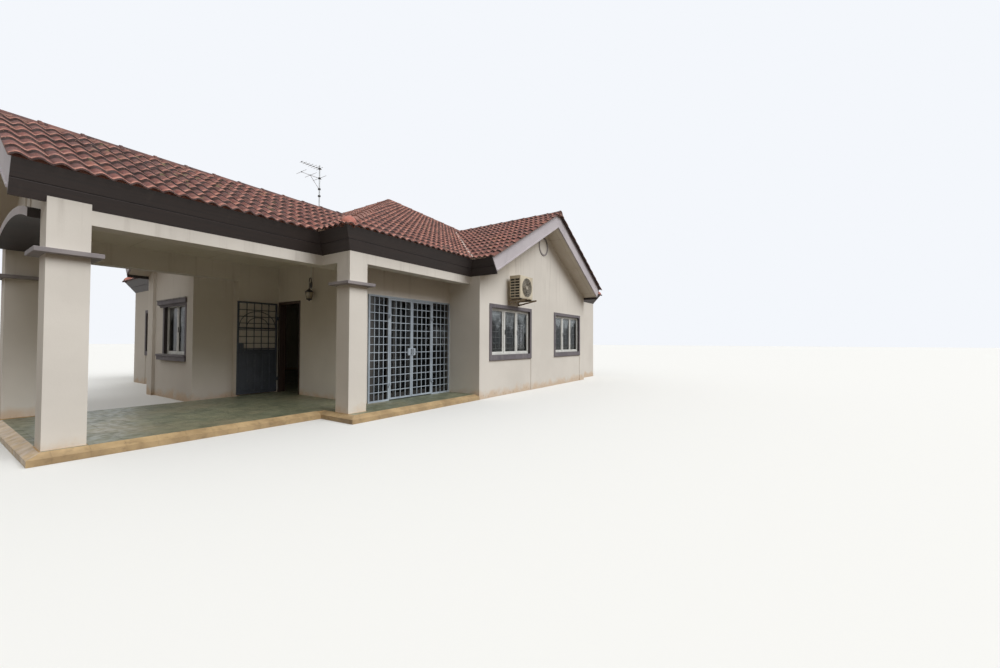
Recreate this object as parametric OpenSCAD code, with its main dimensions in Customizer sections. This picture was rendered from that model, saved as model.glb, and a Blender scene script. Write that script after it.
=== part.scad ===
// Single-storey bungalow with a hipped tile roof, a gabled garden wing, a gabled car porch,
// a shallow corner verandah and a bedroom bay beside the porch.
// Ground is Z = 0. The street lies towards -Y and the side garden towards +X.
// The origin is under the middle of the square main block.

/* [House] */
// Side of the square main block, over its wall faces
house_side = 11000; // [10600:50:11600]
// Thickness of the plastered brick walls
wall_t = 150; // [120:10:180]
// Floor above the ground
floor_h = 120; // [60:10:250]
// Underside of the ceilings above the floor
ceiling_h = 2910; // [2820:10:2980]
// Thickness of the ceiling boards
ceiling_t = 12; // [9:1:20]

/* [Roof] */
// Pitch of every roof slope in degrees
roof_pitch = 29; // [25:0.5:32]
// Upright thickness of tiles, battens and boarding
roof_t = 75; // [60:5:110]
// Foot of the fascia boards above the floor
plate_h = 2700; // [2660:10:2760]
// Height of the slanted fascia
fascia_h = 350; // [300:10:400]
// Reach of the eaves beyond the wall face
eave_out = 220; // [160:10:280]
// Thickness of the fascia and barge boards
board_t = 30; // [20:1:40]
// Upright height of the barge boards
barge_h = 400; // [300:10:450]
// Reach of the tiles beyond the top of the fascia
tile_over = 50; // [40:5:120]
// Height of the round caps over the tiles' ridge
cap_up = 40; // [30:5:70]
// How far the verge tiles pass the barge boards of the porch and the bay
verge_lip = 25; // [10:5:50]
// Radius of the round ridge and hip caps
cap_r = 115; // [90:5:140]

/* [Garden wing] */
// Middle of the wing along the garden side
wing_axis_y = 800; // [700:50:1000]
// Half of the gable wall's width
wing_half = 3080; // [3000:10:3200]
// Step of the gable wall beyond the main block
wing_out = 270; // [200:10:350]
// Reach of the wing's verge beyond its gable wall
wing_verge = 575; // [400:5:650]
// How far the wing's verge tiles pass its barge boards
wing_lip = 90; // [20:5:120]
// Outer diameter of the ring moulding under the apex
ring_d = 550; // [400:10:650]
// Width of the ring moulding's band
ring_band = 45; // [30:5:70]
// Centre of the ring moulding above the floor
ring_h = 3990; // [3900:10:4050]

/* [Car porch] */
// Middle of the porch along the front
porch_axis_x = 3015; // [2950:5:3050]
// Half of the distance over the outer faces of the porch columns
porch_half = 1745; // [1700:5:1790]
// Front face of the porch columns, measured from the main front wall
porch_out = 3260; // [3000:20:3600]
// Reach of the porch's verge beyond the front of its columns
porch_verge = 295; // [200:5:400]
// Side of the square columns
column_w = 350; // [320:5:380]
// Setback of the porch beams from the outer faces of the columns
beam_inset = 40; // [20:5:60]
// Width of the beams
beam_w = 250; // [220:5:270]
// Underside of the beams above the floor
beam_under = 2530; // [2450:10:2600]
// Underside of the column caps above the floor
cap_h = 2138; // [2050:10:2250]
// Thickness of the column caps
cap_t = 51; // [40:1:70]
// Reach of the column caps beyond the column faces
cap_out = 100; // [60:5:120]
// Reach of the plinths beyond the column faces
plinth_out = 12; // [8:1:30]
// Springing of the front arch above the floor
arch_spring = 2570; // [2450:10:2600]
// Rise of the arch's underside from springing to crown
arch_rise = 190; // [150:10:280]
// Thickness of the arch band
arch_t = 100; // [80:5:120]
// Setback of the porch's gable wall behind the front of its columns
gable_back = 60; // [40:5:100]
// Width of the two upright slots sunk in the gable wall over the arch
slot_w = 150; // [100:10:200]
// Distance between the middles of the slots
slot_apart = 360; // [300:10:500]
// Height of the slots
slot_h = 450; // [300:10:500]
// Depth of the slots
slot_sunk = 25; // [15:5:40]
// Reach of the arch band in front of the columns
arch_out = 100; // [60:5:140]
// Porch floor beyond the near columns
porch_slab_out = 170; // [120:10:240]
// Far edge of the porch floor inside the outer face of the far columns
porch_slab_in = 450; // [400:10:600]
// Width of the sloping cement kerb along the open floor edges
kerb_w = 120; // [80:10:160]
// Drop of the kerb's outer edge below the floor
kerb_drop = 50; // [30:5:60]

/* [Verandah and entrance] */
// Depth from the verandah column's outer face to the sliding door wall
verandah_depth = 660; // [600:10:720]
// Front face of the verandah side wall, measured from the house middle
verandah_end_y = -2280; // [-2330:10:-2280]
// Verandah floor beyond the column's outer face
verandah_slab_out = 280; // [200:10:320]
// Setback of the entrance wall behind the main front wall
entrance_setback = 860; // [820:10:900]
// Wall between the bay and the porch, over its two faces
porch_nib = 260; // [240:10:300]
// Height of doors and grilles above the floor
door_head = 2110; // [2050:10:2200]
// Width of the entrance doorway in the wall
entrance_w = 950; // [900:10:1000]

/* [Bedroom bay] */
// Width of the bay over its side walls
bay_w = 2760; // [2600:20:2900]
// Step of the bay in front of the main front wall
bay_out = 750; // [650:10:850]
// Reach of the bay's verge beyond its pilasters
bay_verge = 425; // [300:5:500]
// Width of the pilasters at the bay's corners
pilaster_w = 330; // [280:10:350]
// Reach of the pilasters beyond the bay's wall
pilaster_out = 60; // [30:5:80]

/* [Windows] */
// Width of the wide window openings
window_w = 1820; // [1700:20:1900]
// Distance between the middles of the two gable windows
window_apart = 3400; // [3200:50:3600]
// Width of the bay window opening
bay_window_w = 1220; // [1100:20:1300]
// Opening sill above the floor
sill_h = 880; // [820:10:950]
// Opening head above the floor
head_h = 2020; // [1950:10:2040]
// Width of the surround at the sides and top
band_w = 90; // [60:5:100]
// Depth of the surround's sill band
sill_band = 130; // [100:5:160]
// Reach of the surround beyond the wall
band_out = 20; // [15:1:35]
// Shift of the bay window from the bay's middle towards the porch
bay_window_shift = 200; // [100:10:240]
// Reach of the bay window's hood and sill beyond the wall
hood_out = 90; // [70:5:120]
// Depth of the sunk apron panel below each wide window
apron_sunk = 15; // [10:1:25]
// Setback of the window frames from the wall face
frame_back = 45; // [35:5:60]
// Face width of the aluminium window members
frame_w = 45; // [35:1:60]
// Depth of the aluminium window frames
frame_d = 60; // [50:5:70]
// Thickness of the glass
glass_t = 6; // [4:1:10]
// Bar size of the window grilles
grille_bar = 12; // [10:1:16]

/* [Grille doors] */
// Bar size of the grille doors and the gate
bar = 14; // [10:1:18]
// Face width of the steel stiles and rails
stile = 34; // [28:1:40]
// Thickness of the grille leaves
leaf_t = 30; // [26:1:36]
// Width of each grille leaf
leaf_w = 600; // [560:10:600]
// Gap round moving leaves
gap = 6; // [5:1:10]
// Radius of the hinge pins
pin_r = 7; // [6:1:9]
// Running clearance between pin and knuckle
pin_clear = 0.3; // [0.2:0.1:0.5]
// Width of the entrance gate
gate_w = 850; // [800:10:870]
// Top of the solid lower sheet of the gate, above the floor
gate_sheet_h = 960; // [900:10:1050]
// Rows of squares in the grille doors
rows = 13; // [10:1:15]
// Columns of squares in each grille section
cols = 4; // [3:1:5]

/* [Cooling unit] */
// Width of the outdoor cooling unit along the wall
unit_w = 620; // [560:10:700]
// Depth of the unit
unit_d = 310; // [260:10:340]
// Height of the unit
unit_h = 590; // [500:10:640]
// Underside of the unit above the floor
unit_z = 2260; // [2220:10:2300]
// Gap between the unit's back and the wall
unit_back = 90; // [60:5:120]
// Distance from the front corner of the gable wall to the unit
unit_from_corner = 1130; // [900:10:1300]
// Height of the unit's brackets
bracket_h = 125; // [90:5:150]
// Reach of the bracket arms past the unit's front
arm_past = 150; // [0:10:180]

/* [Lamp and aerial] */
// Distance of the wall lantern from the entrance doorway
lamp_along = 560; // [400:10:700]
// Foot of the lantern above the floor
lamp_foot = 2060; // [1900:10:2150]
// Radius of the lantern
lamp_r = 85; // [60:5:100]
// Reach of the lantern's middle from the wall
lamp_out = 130; // [110:5:180]
// Place of the roof aerial along the front
aerial_x = 1660; // [1600:10:1800]
// Height of the aerial's mast over the tiles
mast_h = 1480; // [1200:20:1700]
// Length of the aerial's boom
boom_l = 480; // [400:10:700]
// Height between the aerial's two booms
boom_gap = 250; // [200:10:300]

/* [Hidden] */
big = 30000;
half = house_side / 2;
slope = tan(roof_pitch);
// Fine joint between the roof slabs and what lies against them
seat = 0.3;
eave = half + eave_out;
brim = eave + tile_over;
z_floor = floor_h;
z_plate = floor_h + plate_h;
z_eave = z_plate + fascia_h;
z_wall = z_eave + eave_out * slope;
z_ceil = floor_h + ceiling_h;
z_inner = z_ceil + ceiling_t;
z_door = floor_h + door_head;
z_sill = floor_h + sill_h;
z_head = floor_h + head_h;
z_beam = floor_h + beam_under;

wing_x = half + wing_out;
wing_eave = wing_half + eave_out;
wing_end = wing_x + wing_verge;
wing_front = wing_axis_y - wing_half;
wing_rear = wing_axis_y + wing_half;

near_out = porch_axis_x + porch_half;
near_in = near_out - column_w;
far_out = porch_axis_x - porch_half;
far_in = far_out + column_w;
near_beam = near_out - beam_inset;
far_beam = far_out + beam_inset;
porch_eave = porch_half - beam_inset + eave_out;
porch_front = -half - porch_out;
porch_end = porch_front - porch_verge;
porch_back = porch_front + column_w;
porch_gable = porch_front + gable_back;

bay_right = far_beam;
bay_left = bay_right - bay_w;
bay_mid = bay_right - bay_w / 2;
bay_eave = bay_w / 2 + eave_out;
bay_front = -half - bay_out;
bay_face = bay_front + pilaster_out;
bay_end = bay_front - bay_verge;

entrance_y = -half + entrance_setback;
nib_x = far_beam + porch_nib;
door_wall_x = half - verandah_depth;
corner_in = half - column_w;
entrance_right = nib_x + entrance_w;
leaf_gap = 2 * gap;

// Place and width of each window: X, Y, turn from facing -Y, width, middle bars, grille
unit_y = wing_front + unit_from_corner;
// Foot of the aerial on the tiles, midway between the porch ridge's end and the eaves
aerial_y = -eave + porch_eave + 100;
aerial_foot = z_eave + roof_t + (aerial_y + eave) * slope;
WINDOWS = [
    [wing_x, wing_axis_y - window_apart / 2, 90, window_w, 2, true],
    [wing_x, wing_axis_y + window_apart / 2, 90, window_w, 2, true],
    [bay_mid + bay_window_shift, bay_face, 0, bay_window_w, 1, false],
    [(bay_left - half) / 2, -half, 0, window_w, 2, true],
    [-half, -half / 2, -90, window_w, 2, true],
    [-half, half / 2, -90, window_w, 2, true],
    [-half / 2, half, 180, window_w, 2, true],
    [half / 2, half, 180, window_w, 2, true],
];
BAY_WINDOW = 2;
// The bay window's hood and sill end against the pilaster
hood_reach = bay_w / 2 - pilaster_w - bay_window_shift;

cream = [0.86, 0.83, 0.79];
trim_grey = [0.42, 0.40, 0.42];
fascia_brown = [0.19, 0.15, 0.14];
lilac_grey = [0.76, 0.74, 0.76];
tile_red = [0.47, 0.27, 0.23];
floor_green = [0.45, 0.50, 0.43];
steel_blue = [0.60, 0.65, 0.68];
white_metal = [0.90, 0.90, 0.90];
glass_dark = [0.20, 0.24, 0.27, 0.6];
soffit_tan = [0.66, 0.61, 0.51];
ivory = [0.88, 0.86, 0.80];
wood_dark = [0.16, 0.10, 0.07];

// A box between two corners
module block(low, high) {
    translate(low) cube(high - low);
}

// An upright prism over a plan outline
module prism(plan, z0, z1) {
    translate([0, 0, z0]) linear_extrude(z1 - z0) polygon(plan);
}

// A roof slab over a plan outline. Its underside rises from the eaves line through
// the point foot, in the plan direction turn, at the roof pitch.
module roof_slab(plan, foot, turn) {
    intersection() {
        prism(plan, 0, big);
        translate([foot[0], foot[1], z_eave]) rotate([0, 0, turn]) rotate([0, -roof_pitch, 0])
            translate([-big / 20, -big / 2, 0]) cube([big / 2, big, roof_t * cos(roof_pitch)]);
    }
}

// A gable roof solid up to its tiles, along +X from x0 to x1
module gable_solid(half_span, x0, x1) {
    foot = half_span + tile_over;
    z = z_eave + roof_t - tile_over * slope + seat;
    translate([x0, 0, 0]) rotate([90, 0, 90])
        linear_extrude(x1 - x0)
            polygon([[-foot, 0], [foot, 0], [foot, z], [0, z + foot * slope], [-foot, z]]);
}

// The solid under the main roof's tiles
module main_solid() {
    intersection() {
        gable_solid(eave, -brim, brim);
        rotate([0, 0, 90]) gable_solid(eave, -brim, brim);
    }
}

// The rooms between the walls' inner faces
module rooms(z0, z1) {
    prism([[-half + wall_t, -half + wall_t], [nib_x - wall_t, -half + wall_t],
        [nib_x - wall_t, entrance_y + wall_t], [door_wall_x - wall_t, entrance_y + wall_t],
        [door_wall_x - wall_t, verandah_end_y + wall_t], [half - wall_t, verandah_end_y + wall_t],
        [half - wall_t, half - wall_t], [-half + wall_t, half - wall_t]], z0, z1);
    block([half - wall_t, verandah_end_y + wall_t, z0], [wing_x - wall_t, wing_rear - wall_t, z1]);
    block([bay_left + wall_t, bay_face + wall_t, z0], [bay_right - wall_t, -half + wall_t, z1]);
}

module house_floor() color(floor_green)
    union() {
        rooms(0, z_floor);
        block([door_wall_x - wall_t, entrance_y + wall_t, 0], [door_wall_x, verandah_end_y, z_floor]);
        block([nib_x, entrance_y, 0], [entrance_right, entrance_y + wall_t, z_floor]);
    }

// A floor slab with a cement kerb that slopes down along its +X and -Y edges
module kerb_slab(x0, x1, y0, y1) {
    drop = [[0, z_floor - kerb_drop], [kerb_w, z_floor]];
    intersection() {
        translate([0, y1, 0]) rotate([90, 0, 0]) linear_extrude(y1 - y0)
            polygon([[x0, 0], [x1, 0], [x1 - drop[0][0], drop[0][1]], [x1 - drop[1][0], drop[1][1]],
                [x0, z_floor]]);
        translate([x0, 0, 0]) rotate([90, 0, 90]) linear_extrude(x1 - x0)
            polygon([[y0, 0], [y1, 0], [y1, z_floor], [y0 + drop[1][0], drop[1][1]],
                [y0 + drop[0][0], drop[0][1]]]);
    }
}

// Space that a column and its plinth take from the floor round it
module plinth_cut(x, y) {
    translate([x - plinth_out, y - plinth_out, -1])
        cube([column_w + 2 * plinth_out, column_w + 2 * plinth_out, z_floor + 2]);
}

module porch_floor() color(floor_green) {
    x0 = far_out + porch_slab_in;
    y1 = -half - kerb_w;
    difference() {
        union() {
            kerb_slab(x0, near_out + porch_slab_out, porch_front - kerb_w, y1);
            block([x0, y1, 0], [door_wall_x, entrance_y, z_floor]);
            block([nib_x, -half, 0], [x0, entrance_y, z_floor]);
        }
        plinth_cut(near_in, porch_front);
    }
}

module verandah_floor() color(floor_green)
    difference() {
        kerb_slab(door_wall_x, half + verandah_slab_out, -half - kerb_w, verandah_end_y);
        plinth_cut(corner_in, -half);
    }

module column(x, y, top) color(cream)
    block([x, y, 0], [x + column_w, y + column_w, top]);

module porch_column_near() column(near_in, porch_front, z_eave);
module porch_column_far() column(far_out, porch_front, z_eave);
module verandah_column() column(corner_in, -half, z_wall);

// A square ring round a column
module column_ring(x, y, reach, z0, z1) {
    difference() {
        block([x - reach, y - reach, z0], [x + column_w + reach, y + column_w + reach, z1]);
        block([x, y, z0 - 1], [x + column_w, y + column_w, z1 + 1]);
    }
}

module column_mouldings() color(trim_grey)
    for (p = [[near_in, porch_front], [far_out, porch_front], [corner_in, -half]]) {
        column_ring(p[0], p[1], cap_out, z_floor + cap_h, z_floor + cap_h + cap_t);
        column_ring(p[0], p[1], plinth_out, 0, z_floor);
    }

module porch_beam_near() color(cream)
    block([near_beam - beam_w, porch_back, z_beam], [near_beam, entrance_y, z_wall]);

module porch_beam_far() color(cream)
    block([far_beam, porch_back, z_beam], [far_beam + beam_w, -half, z_wall]);

module verandah_beams() color(cream) {
    block([near_beam, -half, z_beam], [corner_in, -half + beam_w, z_wall]);
    block([half - beam_w, -half + column_w, z_beam], [half, verandah_end_y, z_wall]);
}

// Radius and centre height of the arch's underside, from its span and rise
arch_half = porch_half - column_w;
arch_r = (arch_rise * arch_rise + arch_half * arch_half) / (2 * arch_rise);
arch_z = z_floor + arch_spring + arch_rise - arch_r;

module arch_cylinder(r, y0, y1) {
    translate([porch_axis_x, y0, arch_z]) rotate([-90, 0, 0]) cylinder(r = r, h = y1 - y0, $fn = 720);
}

module porch_arch() color(lilac_grey)
    intersection() {
        difference() {
            arch_cylinder(arch_r + arch_t, porch_front - arch_out, porch_back);
            arch_cylinder(arch_r, porch_front - arch_out - 1, porch_back + 1);
        }
        block([far_in, porch_front - arch_out, z_floor + arch_spring - arch_t], [near_in, porch_back, z_wall]);
    }

module porch_gable_wall() color(cream)
    difference() {
        translate([porch_axis_x, porch_gable + wall_t, 0]) rotate([90, 0, 0]) linear_extrude(wall_t)
            polygon([[-arch_half, z_floor + arch_spring], [arch_half, z_floor + arch_spring],
                [arch_half, z_eave], [porch_half - beam_inset, z_eave],
                [porch_half - beam_inset, z_wall - seat], [0, z_eave + porch_eave * slope - seat],
                [beam_inset - porch_half, z_wall - seat],
                [beam_inset - porch_half, z_eave], [-arch_half, z_eave]]);
        arch_cylinder(arch_r + arch_t, porch_front - 1, porch_back + 1);
        for (side = [-1, 1])
            translate([porch_axis_x + side * slot_apart / 2, 0, arch_z + arch_r + arch_t])
                block([-slot_w / 2, porch_gable - 1, 60], [slot_w / 2, porch_gable + slot_sunk, 60 + slot_h]);
    }

module house_ceiling() color(cream)
    rooms(z_ceil, z_inner);

module porch_ceiling() color(cream)
    difference() {
        prism([[far_in, porch_gable + wall_t], [near_in, porch_gable + wall_t], [near_in, porch_back],
            [near_beam - beam_w, porch_back], [near_beam - beam_w, entrance_y], [nib_x, entrance_y],
            [nib_x, -half], [far_beam + beam_w, -half], [far_beam + beam_w, porch_back],
            [far_in, porch_back]], z_ceil, z_inner);
        arch_cylinder(arch_r + arch_t, porch_front - 1, porch_back);
    }

module verandah_ceiling() color(cream)
    prism([[near_beam, -half + beam_w], [corner_in, -half + beam_w], [corner_in, -half + column_w],
        [half - beam_w, -half + column_w], [half - beam_w, verandah_end_y],
        [door_wall_x, verandah_end_y], [door_wall_x, entrance_y], [near_beam, entrance_y]], z_ceil, z_inner);

module entrance_wall() color(cream)
    block([entrance_right, entrance_y, 0], [door_wall_x, entrance_y + wall_t, z_inner]);

module entrance_lintel() color(cream)
    block([nib_x, entrance_y, z_door], [entrance_right, entrance_y + wall_t, z_inner]);

module porch_side_wall() color(cream)
    union() {
        block([nib_x - wall_t, -half, 0], [nib_x, entrance_y + wall_t, z_inner]);
        block([bay_right, -half, 0], [nib_x - wall_t, -half + wall_t, z_inner]);
    }

// Local frame of window i: X along the wall, -Y outwards, Y = 0 on the wall face, Z from the ground
module at_window(i) {
    translate([WINDOWS[i][0], WINDOWS[i][1], 0]) rotate([0, 0, WINDOWS[i][2]]) children();
}

// The hole for window i, with the sunk panel below it where it is a wide window
module window_cut(i) {
    w = WINDOWS[i][3];
    at_window(i) {
        block([-w / 2, -wall_t, z_sill], [w / 2, 2 * wall_t, z_head]);
        if (i != BAY_WINDOW)
            block([-w / 2 - band_w, -1, -1], [w / 2 + band_w, apron_sunk, z_sill - sill_band]);
    }
}

module bay_front_wall() color(cream)
    difference() {
        union() {
            translate([bay_mid, bay_face + wall_t, 0]) rotate([90, 0, 0]) linear_extrude(wall_t)
                polygon([[-bay_w / 2, 0], [bay_w / 2, 0], [bay_w / 2, z_wall - seat],
                    [0, z_eave + bay_eave * slope - seat], [-bay_w / 2, z_wall - seat]]);
            block([bay_left, bay_front, 0], [bay_left + pilaster_w, bay_face, z_wall]);
            block([bay_right - pilaster_w, bay_front, 0], [bay_right, bay_face, z_wall]);
        }
        window_cut(BAY_WINDOW);
    }

module bay_side_walls() color(cream) {
    block([bay_left, bay_face + wall_t, 0], [bay_left + wall_t, -half + wall_t, z_wall]);
    block([bay_right - wall_t, bay_face + wall_t, 0], [bay_right, -half + wall_t, z_wall]);
}

module front_wall() color(cream)
    difference() {
        block([-half, -half, 0], [bay_left, -half + wall_t, z_wall]);
        window_cut(3);
    }

module far_wall() color(cream)
    difference() {
        block([-half, -half + wall_t, 0], [-half + wall_t, half - wall_t, z_wall]);
        window_cut(4);
        window_cut(5);
    }

module rear_wall() color(cream)
    difference() {
        block([-half, half - wall_t, 0], [half, half, z_wall]);
        window_cut(6);
        window_cut(7);
    }

module garden_rear_wall() color(cream)
    union() {
        block([half - wall_t, wing_rear - wall_t, 0], [half, half - wall_t, z_wall]);
        block([half, wing_rear - wall_t, 0], [wing_x - wall_t, wing_rear, z_wall]);
    }

module gable_wall() color(cream)
    difference() {
        translate([wing_x - wall_t, wing_axis_y, 0]) rotate([90, 0, 90]) linear_extrude(wall_t)
            polygon([[-wing_half, 0], [wing_half, 0], [wing_half, z_wall - seat],
                [0, z_eave + wing_eave * slope - seat], [-wing_half, z_wall - seat]]);
        window_cut(0);
        window_cut(1);
    }

module verandah_side_wall() color(cream)
    block([door_wall_x - wall_t, verandah_end_y, 0], [wing_x - wall_t, verandah_end_y + wall_t, z_wall]);

module sliding_door_lintel() color(cream)
    block([door_wall_x - wall_t, entrance_y + wall_t, z_door], [door_wall_x, verandah_end_y, z_inner]);

module main_roof() color(tile_red) {
    valley = eave - porch_eave;
    roof_slab([[-brim, -brim], [bay_mid - bay_eave - tile_over, -brim], [bay_mid, bay_eave - eave],
        [bay_right, eave_out - eave], [porch_axis_x, -valley],
        [porch_axis_x + porch_eave + tile_over, -brim], [brim, -brim], [0, 0]], [0, -eave], 90);
    roof_slab([[brim, -brim], [brim, wing_axis_y - wing_eave - tile_over], [eave - wing_eave, wing_axis_y],
        [brim, wing_axis_y + wing_eave + tile_over], [brim, brim], [0, 0]], [eave, 0], 180);
    roof_slab([[brim, brim], [-brim, brim], [0, 0]], [0, eave], 270);
    roof_slab([[-brim, brim], [-brim, -brim], [0, 0]], [-eave, 0], 0);
}

module wing_roof() color(tile_red) {
    y0 = wing_axis_y - wing_eave - tile_over;
    y1 = wing_axis_y + wing_eave + tile_over;
    roof_slab([[brim, y0], [wing_end, y0], [wing_end, wing_axis_y], [eave - wing_eave, wing_axis_y]],
        [eave, wing_axis_y - wing_eave], 90);
    roof_slab([[brim, y1], [wing_end, y1], [wing_end, wing_axis_y], [eave - wing_eave, wing_axis_y]],
        [eave, wing_axis_y + wing_eave], 270);
}

module porch_roof() color(tile_red) {
    x0 = porch_axis_x - porch_eave;
    x1 = porch_axis_x + porch_eave;
    roof_slab([[porch_axis_x, porch_end], [x1 + tile_over, porch_end], [x1 + tile_over, -brim],
        [porch_axis_x, porch_eave - eave]], [x1, 0], 180);
    roof_slab([[x0 - tile_over, porch_end], [porch_axis_x, porch_end], [porch_axis_x, porch_eave - eave],
        [bay_right, eave_out - eave], [bay_right, bay_end], [x0 - tile_over, bay_end]], [x0, 0], 0);
}

module bay_roof() color(tile_red) {
    x0 = bay_mid - bay_eave;
    x1 = bay_mid + bay_eave;
    roof_slab([[bay_mid, bay_end], [bay_right, bay_end], [bay_right, eave_out - eave],
        [bay_mid, bay_eave - eave]], [x1, 0], 180);
    roof_slab([[x0 - tile_over, bay_end], [bay_mid, bay_end], [bay_mid, bay_eave - eave],
        [x0 - tile_over, -brim]], [x0, 0], 0);
}

// Round cap tiles along a ridge that runs in +X from x0 to x1, over a gable roof
module ridge_cap(half_span, x0, x1) {
    difference() {
        translate([x0, 0, z_eave + roof_t + half_span * slope + cap_up - cap_r]) rotate([0, 90, 0])
            cylinder(r = cap_r, h = x1 - x0, $fn = 96);
        gable_solid(half_span, x0 - 1, x1 + 1);
    }
}

module ridge_caps() color(tile_red)
    difference() {
        union() {
            translate([0, wing_axis_y, 0]) ridge_cap(wing_eave, eave - wing_eave - cap_r, wing_end);
            translate([porch_axis_x, 0, 0]) rotate([0, 0, -90])
                ridge_cap(porch_eave, eave - porch_eave - cap_r, -porch_end);
            translate([bay_mid, 0, 0]) rotate([0, 0, -90]) ridge_cap(bay_eave, eave - bay_eave - cap_r, -bay_end);
        }
        main_solid();
    }

module hip_caps() color(tile_red) {
    run = brim * sqrt(2);
    rise = brim * slope;
    difference() {
        intersection() {
            for (turn = [45, 135, 225, 315])
                rotate([0, 0, turn]) translate([0, 0, z_eave + roof_t + eave * slope + cap_up - cap_r])
                    rotate([0, 90 + atan(rise / run), 0])
                        cylinder(r = cap_r, h = sqrt(run * run + rise * rise) + cap_r, $fn = 96);
            block([-brim, -brim, 0], [brim, brim, big]);
        }
        main_solid();
    }
}

// One straight run of slanted fascia. The wall face is the plan line from a to b, with the
// outside on its right. Each end is cut to a mitre: 1 outwards, -1 inwards, 0 square.
module fascia(a, b, mitre_a, mitre_b) {
    run = norm(b - a);
    turn = atan2(b[1] - a[1], b[0] - a[0]);
    lean = board_t * fascia_h / eave_out;
    translate([a[0], a[1], 0]) rotate([0, 0, turn])
        intersection() {
            translate([-eave_out, 0, 0]) rotate([90, 0, 90]) linear_extrude(run + 2 * eave_out)
                polygon([[0, z_plate], [-eave_out, z_eave], [board_t - eave_out, z_eave], [0, z_plate + lean]]);
            prism([[0, 0], [-mitre_a * eave_out, -eave_out], [run + mitre_b * eave_out, -eave_out], [run, 0]],
                0, big);
        }
}

// The porch columns stand proud of the beams and pass into the fascia
module column_notches() {
    block([near_in, porch_front, 0], [near_out, porch_back, z_eave]);
    block([far_out, porch_front, 0], [far_in, porch_back, z_eave]);
}

module side_fascias() color(fascia_brown)
    difference() {
        union() {
            fascia([near_beam, porch_end + verge_lip], [near_beam, -half], 0, -1);
            fascia([half, -half], [half, wing_front], 1, -1);
            fascia([half, wing_rear], [half, half], -1, 1);
            fascia([-half, half], [-half, -half], 1, 1);
            fascia([bay_left, -half], [bay_left, bay_end + verge_lip], -1, 0);
            fascia([far_beam, bay_end + verge_lip], [far_beam, porch_end + verge_lip], 0, 0);
        }
        column_notches();
    }

module front_rear_fascias() color(fascia_brown) {
    fascia([near_beam, -half], [half, -half], -1, 1);
    fascia([half, wing_front], [wing_end - wing_lip, wing_front], -1, 0);
    fascia([wing_end - wing_lip, wing_rear], [half, wing_rear], 0, -1);
    fascia([half, half], [-half, half], 1, 1);
    fascia([-half, -half], [bay_left, -half], 1, -1);
}

// One barge board of a gable whose verge faces -Y, on the side given by side = 1 or -1.
// Its foot butts against the inner face of the fascia, which covers its end.
module barge_board(x, y, wall_half, side, lip) {
    half_span = wall_half + eave_out;
    apex = z_eave + half_span * slope;
    lean = board_t * fascia_h / eave_out;
    translate([x, y + lip + board_t, 0]) rotate([90, 0, 0]) linear_extrude(board_t)
        intersection() {
            polygon([[0, apex], [side * half_span, z_eave], [side * half_span, z_eave - barge_h],
                [0, apex - barge_h]]);
            polygon([[0, 0], [side * wall_half, 0], [side * wall_half, z_plate + lean],
                [side * (half_span - board_t), z_eave], [side * (half_span - board_t), big], [0, big]]);
        }
}

// The bay's gable stops at the foot of the porch roof
module barge_boards(side) color(lilac_grey) {
    barge_board(porch_axis_x, porch_end, porch_half - beam_inset, side, verge_lip);
    intersection() {
        barge_board(bay_mid, bay_end, bay_w / 2, side, verge_lip);
        block([-half, bay_end, 0], [bay_right, -half, big]);
    }
    translate([0, wing_axis_y, 0]) rotate([0, 0, 90]) barge_board(0, -wing_end, wing_half, side, wing_lip);
}

// Sloping boards that close a gable's verge below, from the wall face to the barge boards
module verge_soffit(x, y0, y1, wall_half) {
    apex = z_eave + (wall_half + eave_out) * slope - barge_h;
    foot = apex - wall_half * slope;
    translate([x, y1, 0]) rotate([90, 0, 0]) linear_extrude(y1 - y0)
        polygon([[-wall_half, foot], [0, apex], [wall_half, foot], [wall_half, foot + ceiling_t],
            [0, apex + ceiling_t], [-wall_half, foot + ceiling_t]]);
}

module verge_soffits() color(soffit_tan) {
    verge = verge_lip + board_t;
    difference() {
        union() {
            verge_soffit(porch_axis_x, porch_end + verge, porch_gable, porch_half - beam_inset);
            verge_soffit(bay_mid, bay_end + verge, bay_face, bay_w / 2);
        }
        column_notches();
        block([bay_left, bay_front, 0], [bay_left + pilaster_w, bay_face, z_wall]);
        block([bay_right - pilaster_w, bay_front, 0], [bay_right, bay_face, z_wall]);
    }
    translate([0, wing_axis_y, 0]) rotate([0, 0, 90])
        verge_soffit(0, -wing_end + wing_lip + board_t, -wing_x, wing_half);
}

module left_barge_boards() barge_boards(-1);
module right_barge_boards() barge_boards(1);

module gable_ring() color(trim_grey)
    translate([wing_x, wing_axis_y, z_floor + ring_h]) rotate([0, 90, 0])
        difference() {
            cylinder(r = ring_d / 2, h = band_out, $fn = 64);
            translate([0, 0, -1]) cylinder(r = ring_d / 2 - ring_band, h = band_out + 2, $fn = 64);
        }

module window_surrounds() color(trim_grey)
    for (i = [0 : len(WINDOWS) - 1]) {
        w = WINDOWS[i][3];
        at_window(i) {
            difference() {
                union() {
                    block([-w / 2 - band_w, -band_out, z_sill - sill_band], [w / 2 + band_w, 0, z_head + band_w]);
                    if (i == BAY_WINDOW) {
                        block([-hood_reach, -hood_out, z_sill - sill_band], [hood_reach, 0, z_sill]);
                        block([-hood_reach, -hood_out, z_head], [hood_reach, 0, z_head + band_w]);
                    }
                }
                block([-w / 2, -wall_t, z_sill], [w / 2, 1, z_head]);
            }
        }
    }

// Panels of window i between its frame members: left and right edge of panel k
function panel_w(i) = (WINDOWS[i][3] - frame_w * (WINDOWS[i][4] + 2)) / (WINDOWS[i][4] + 1);
function panel_x(i, k) = -WINDOWS[i][3] / 2 + frame_w + k * (panel_w(i) + frame_w);

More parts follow.
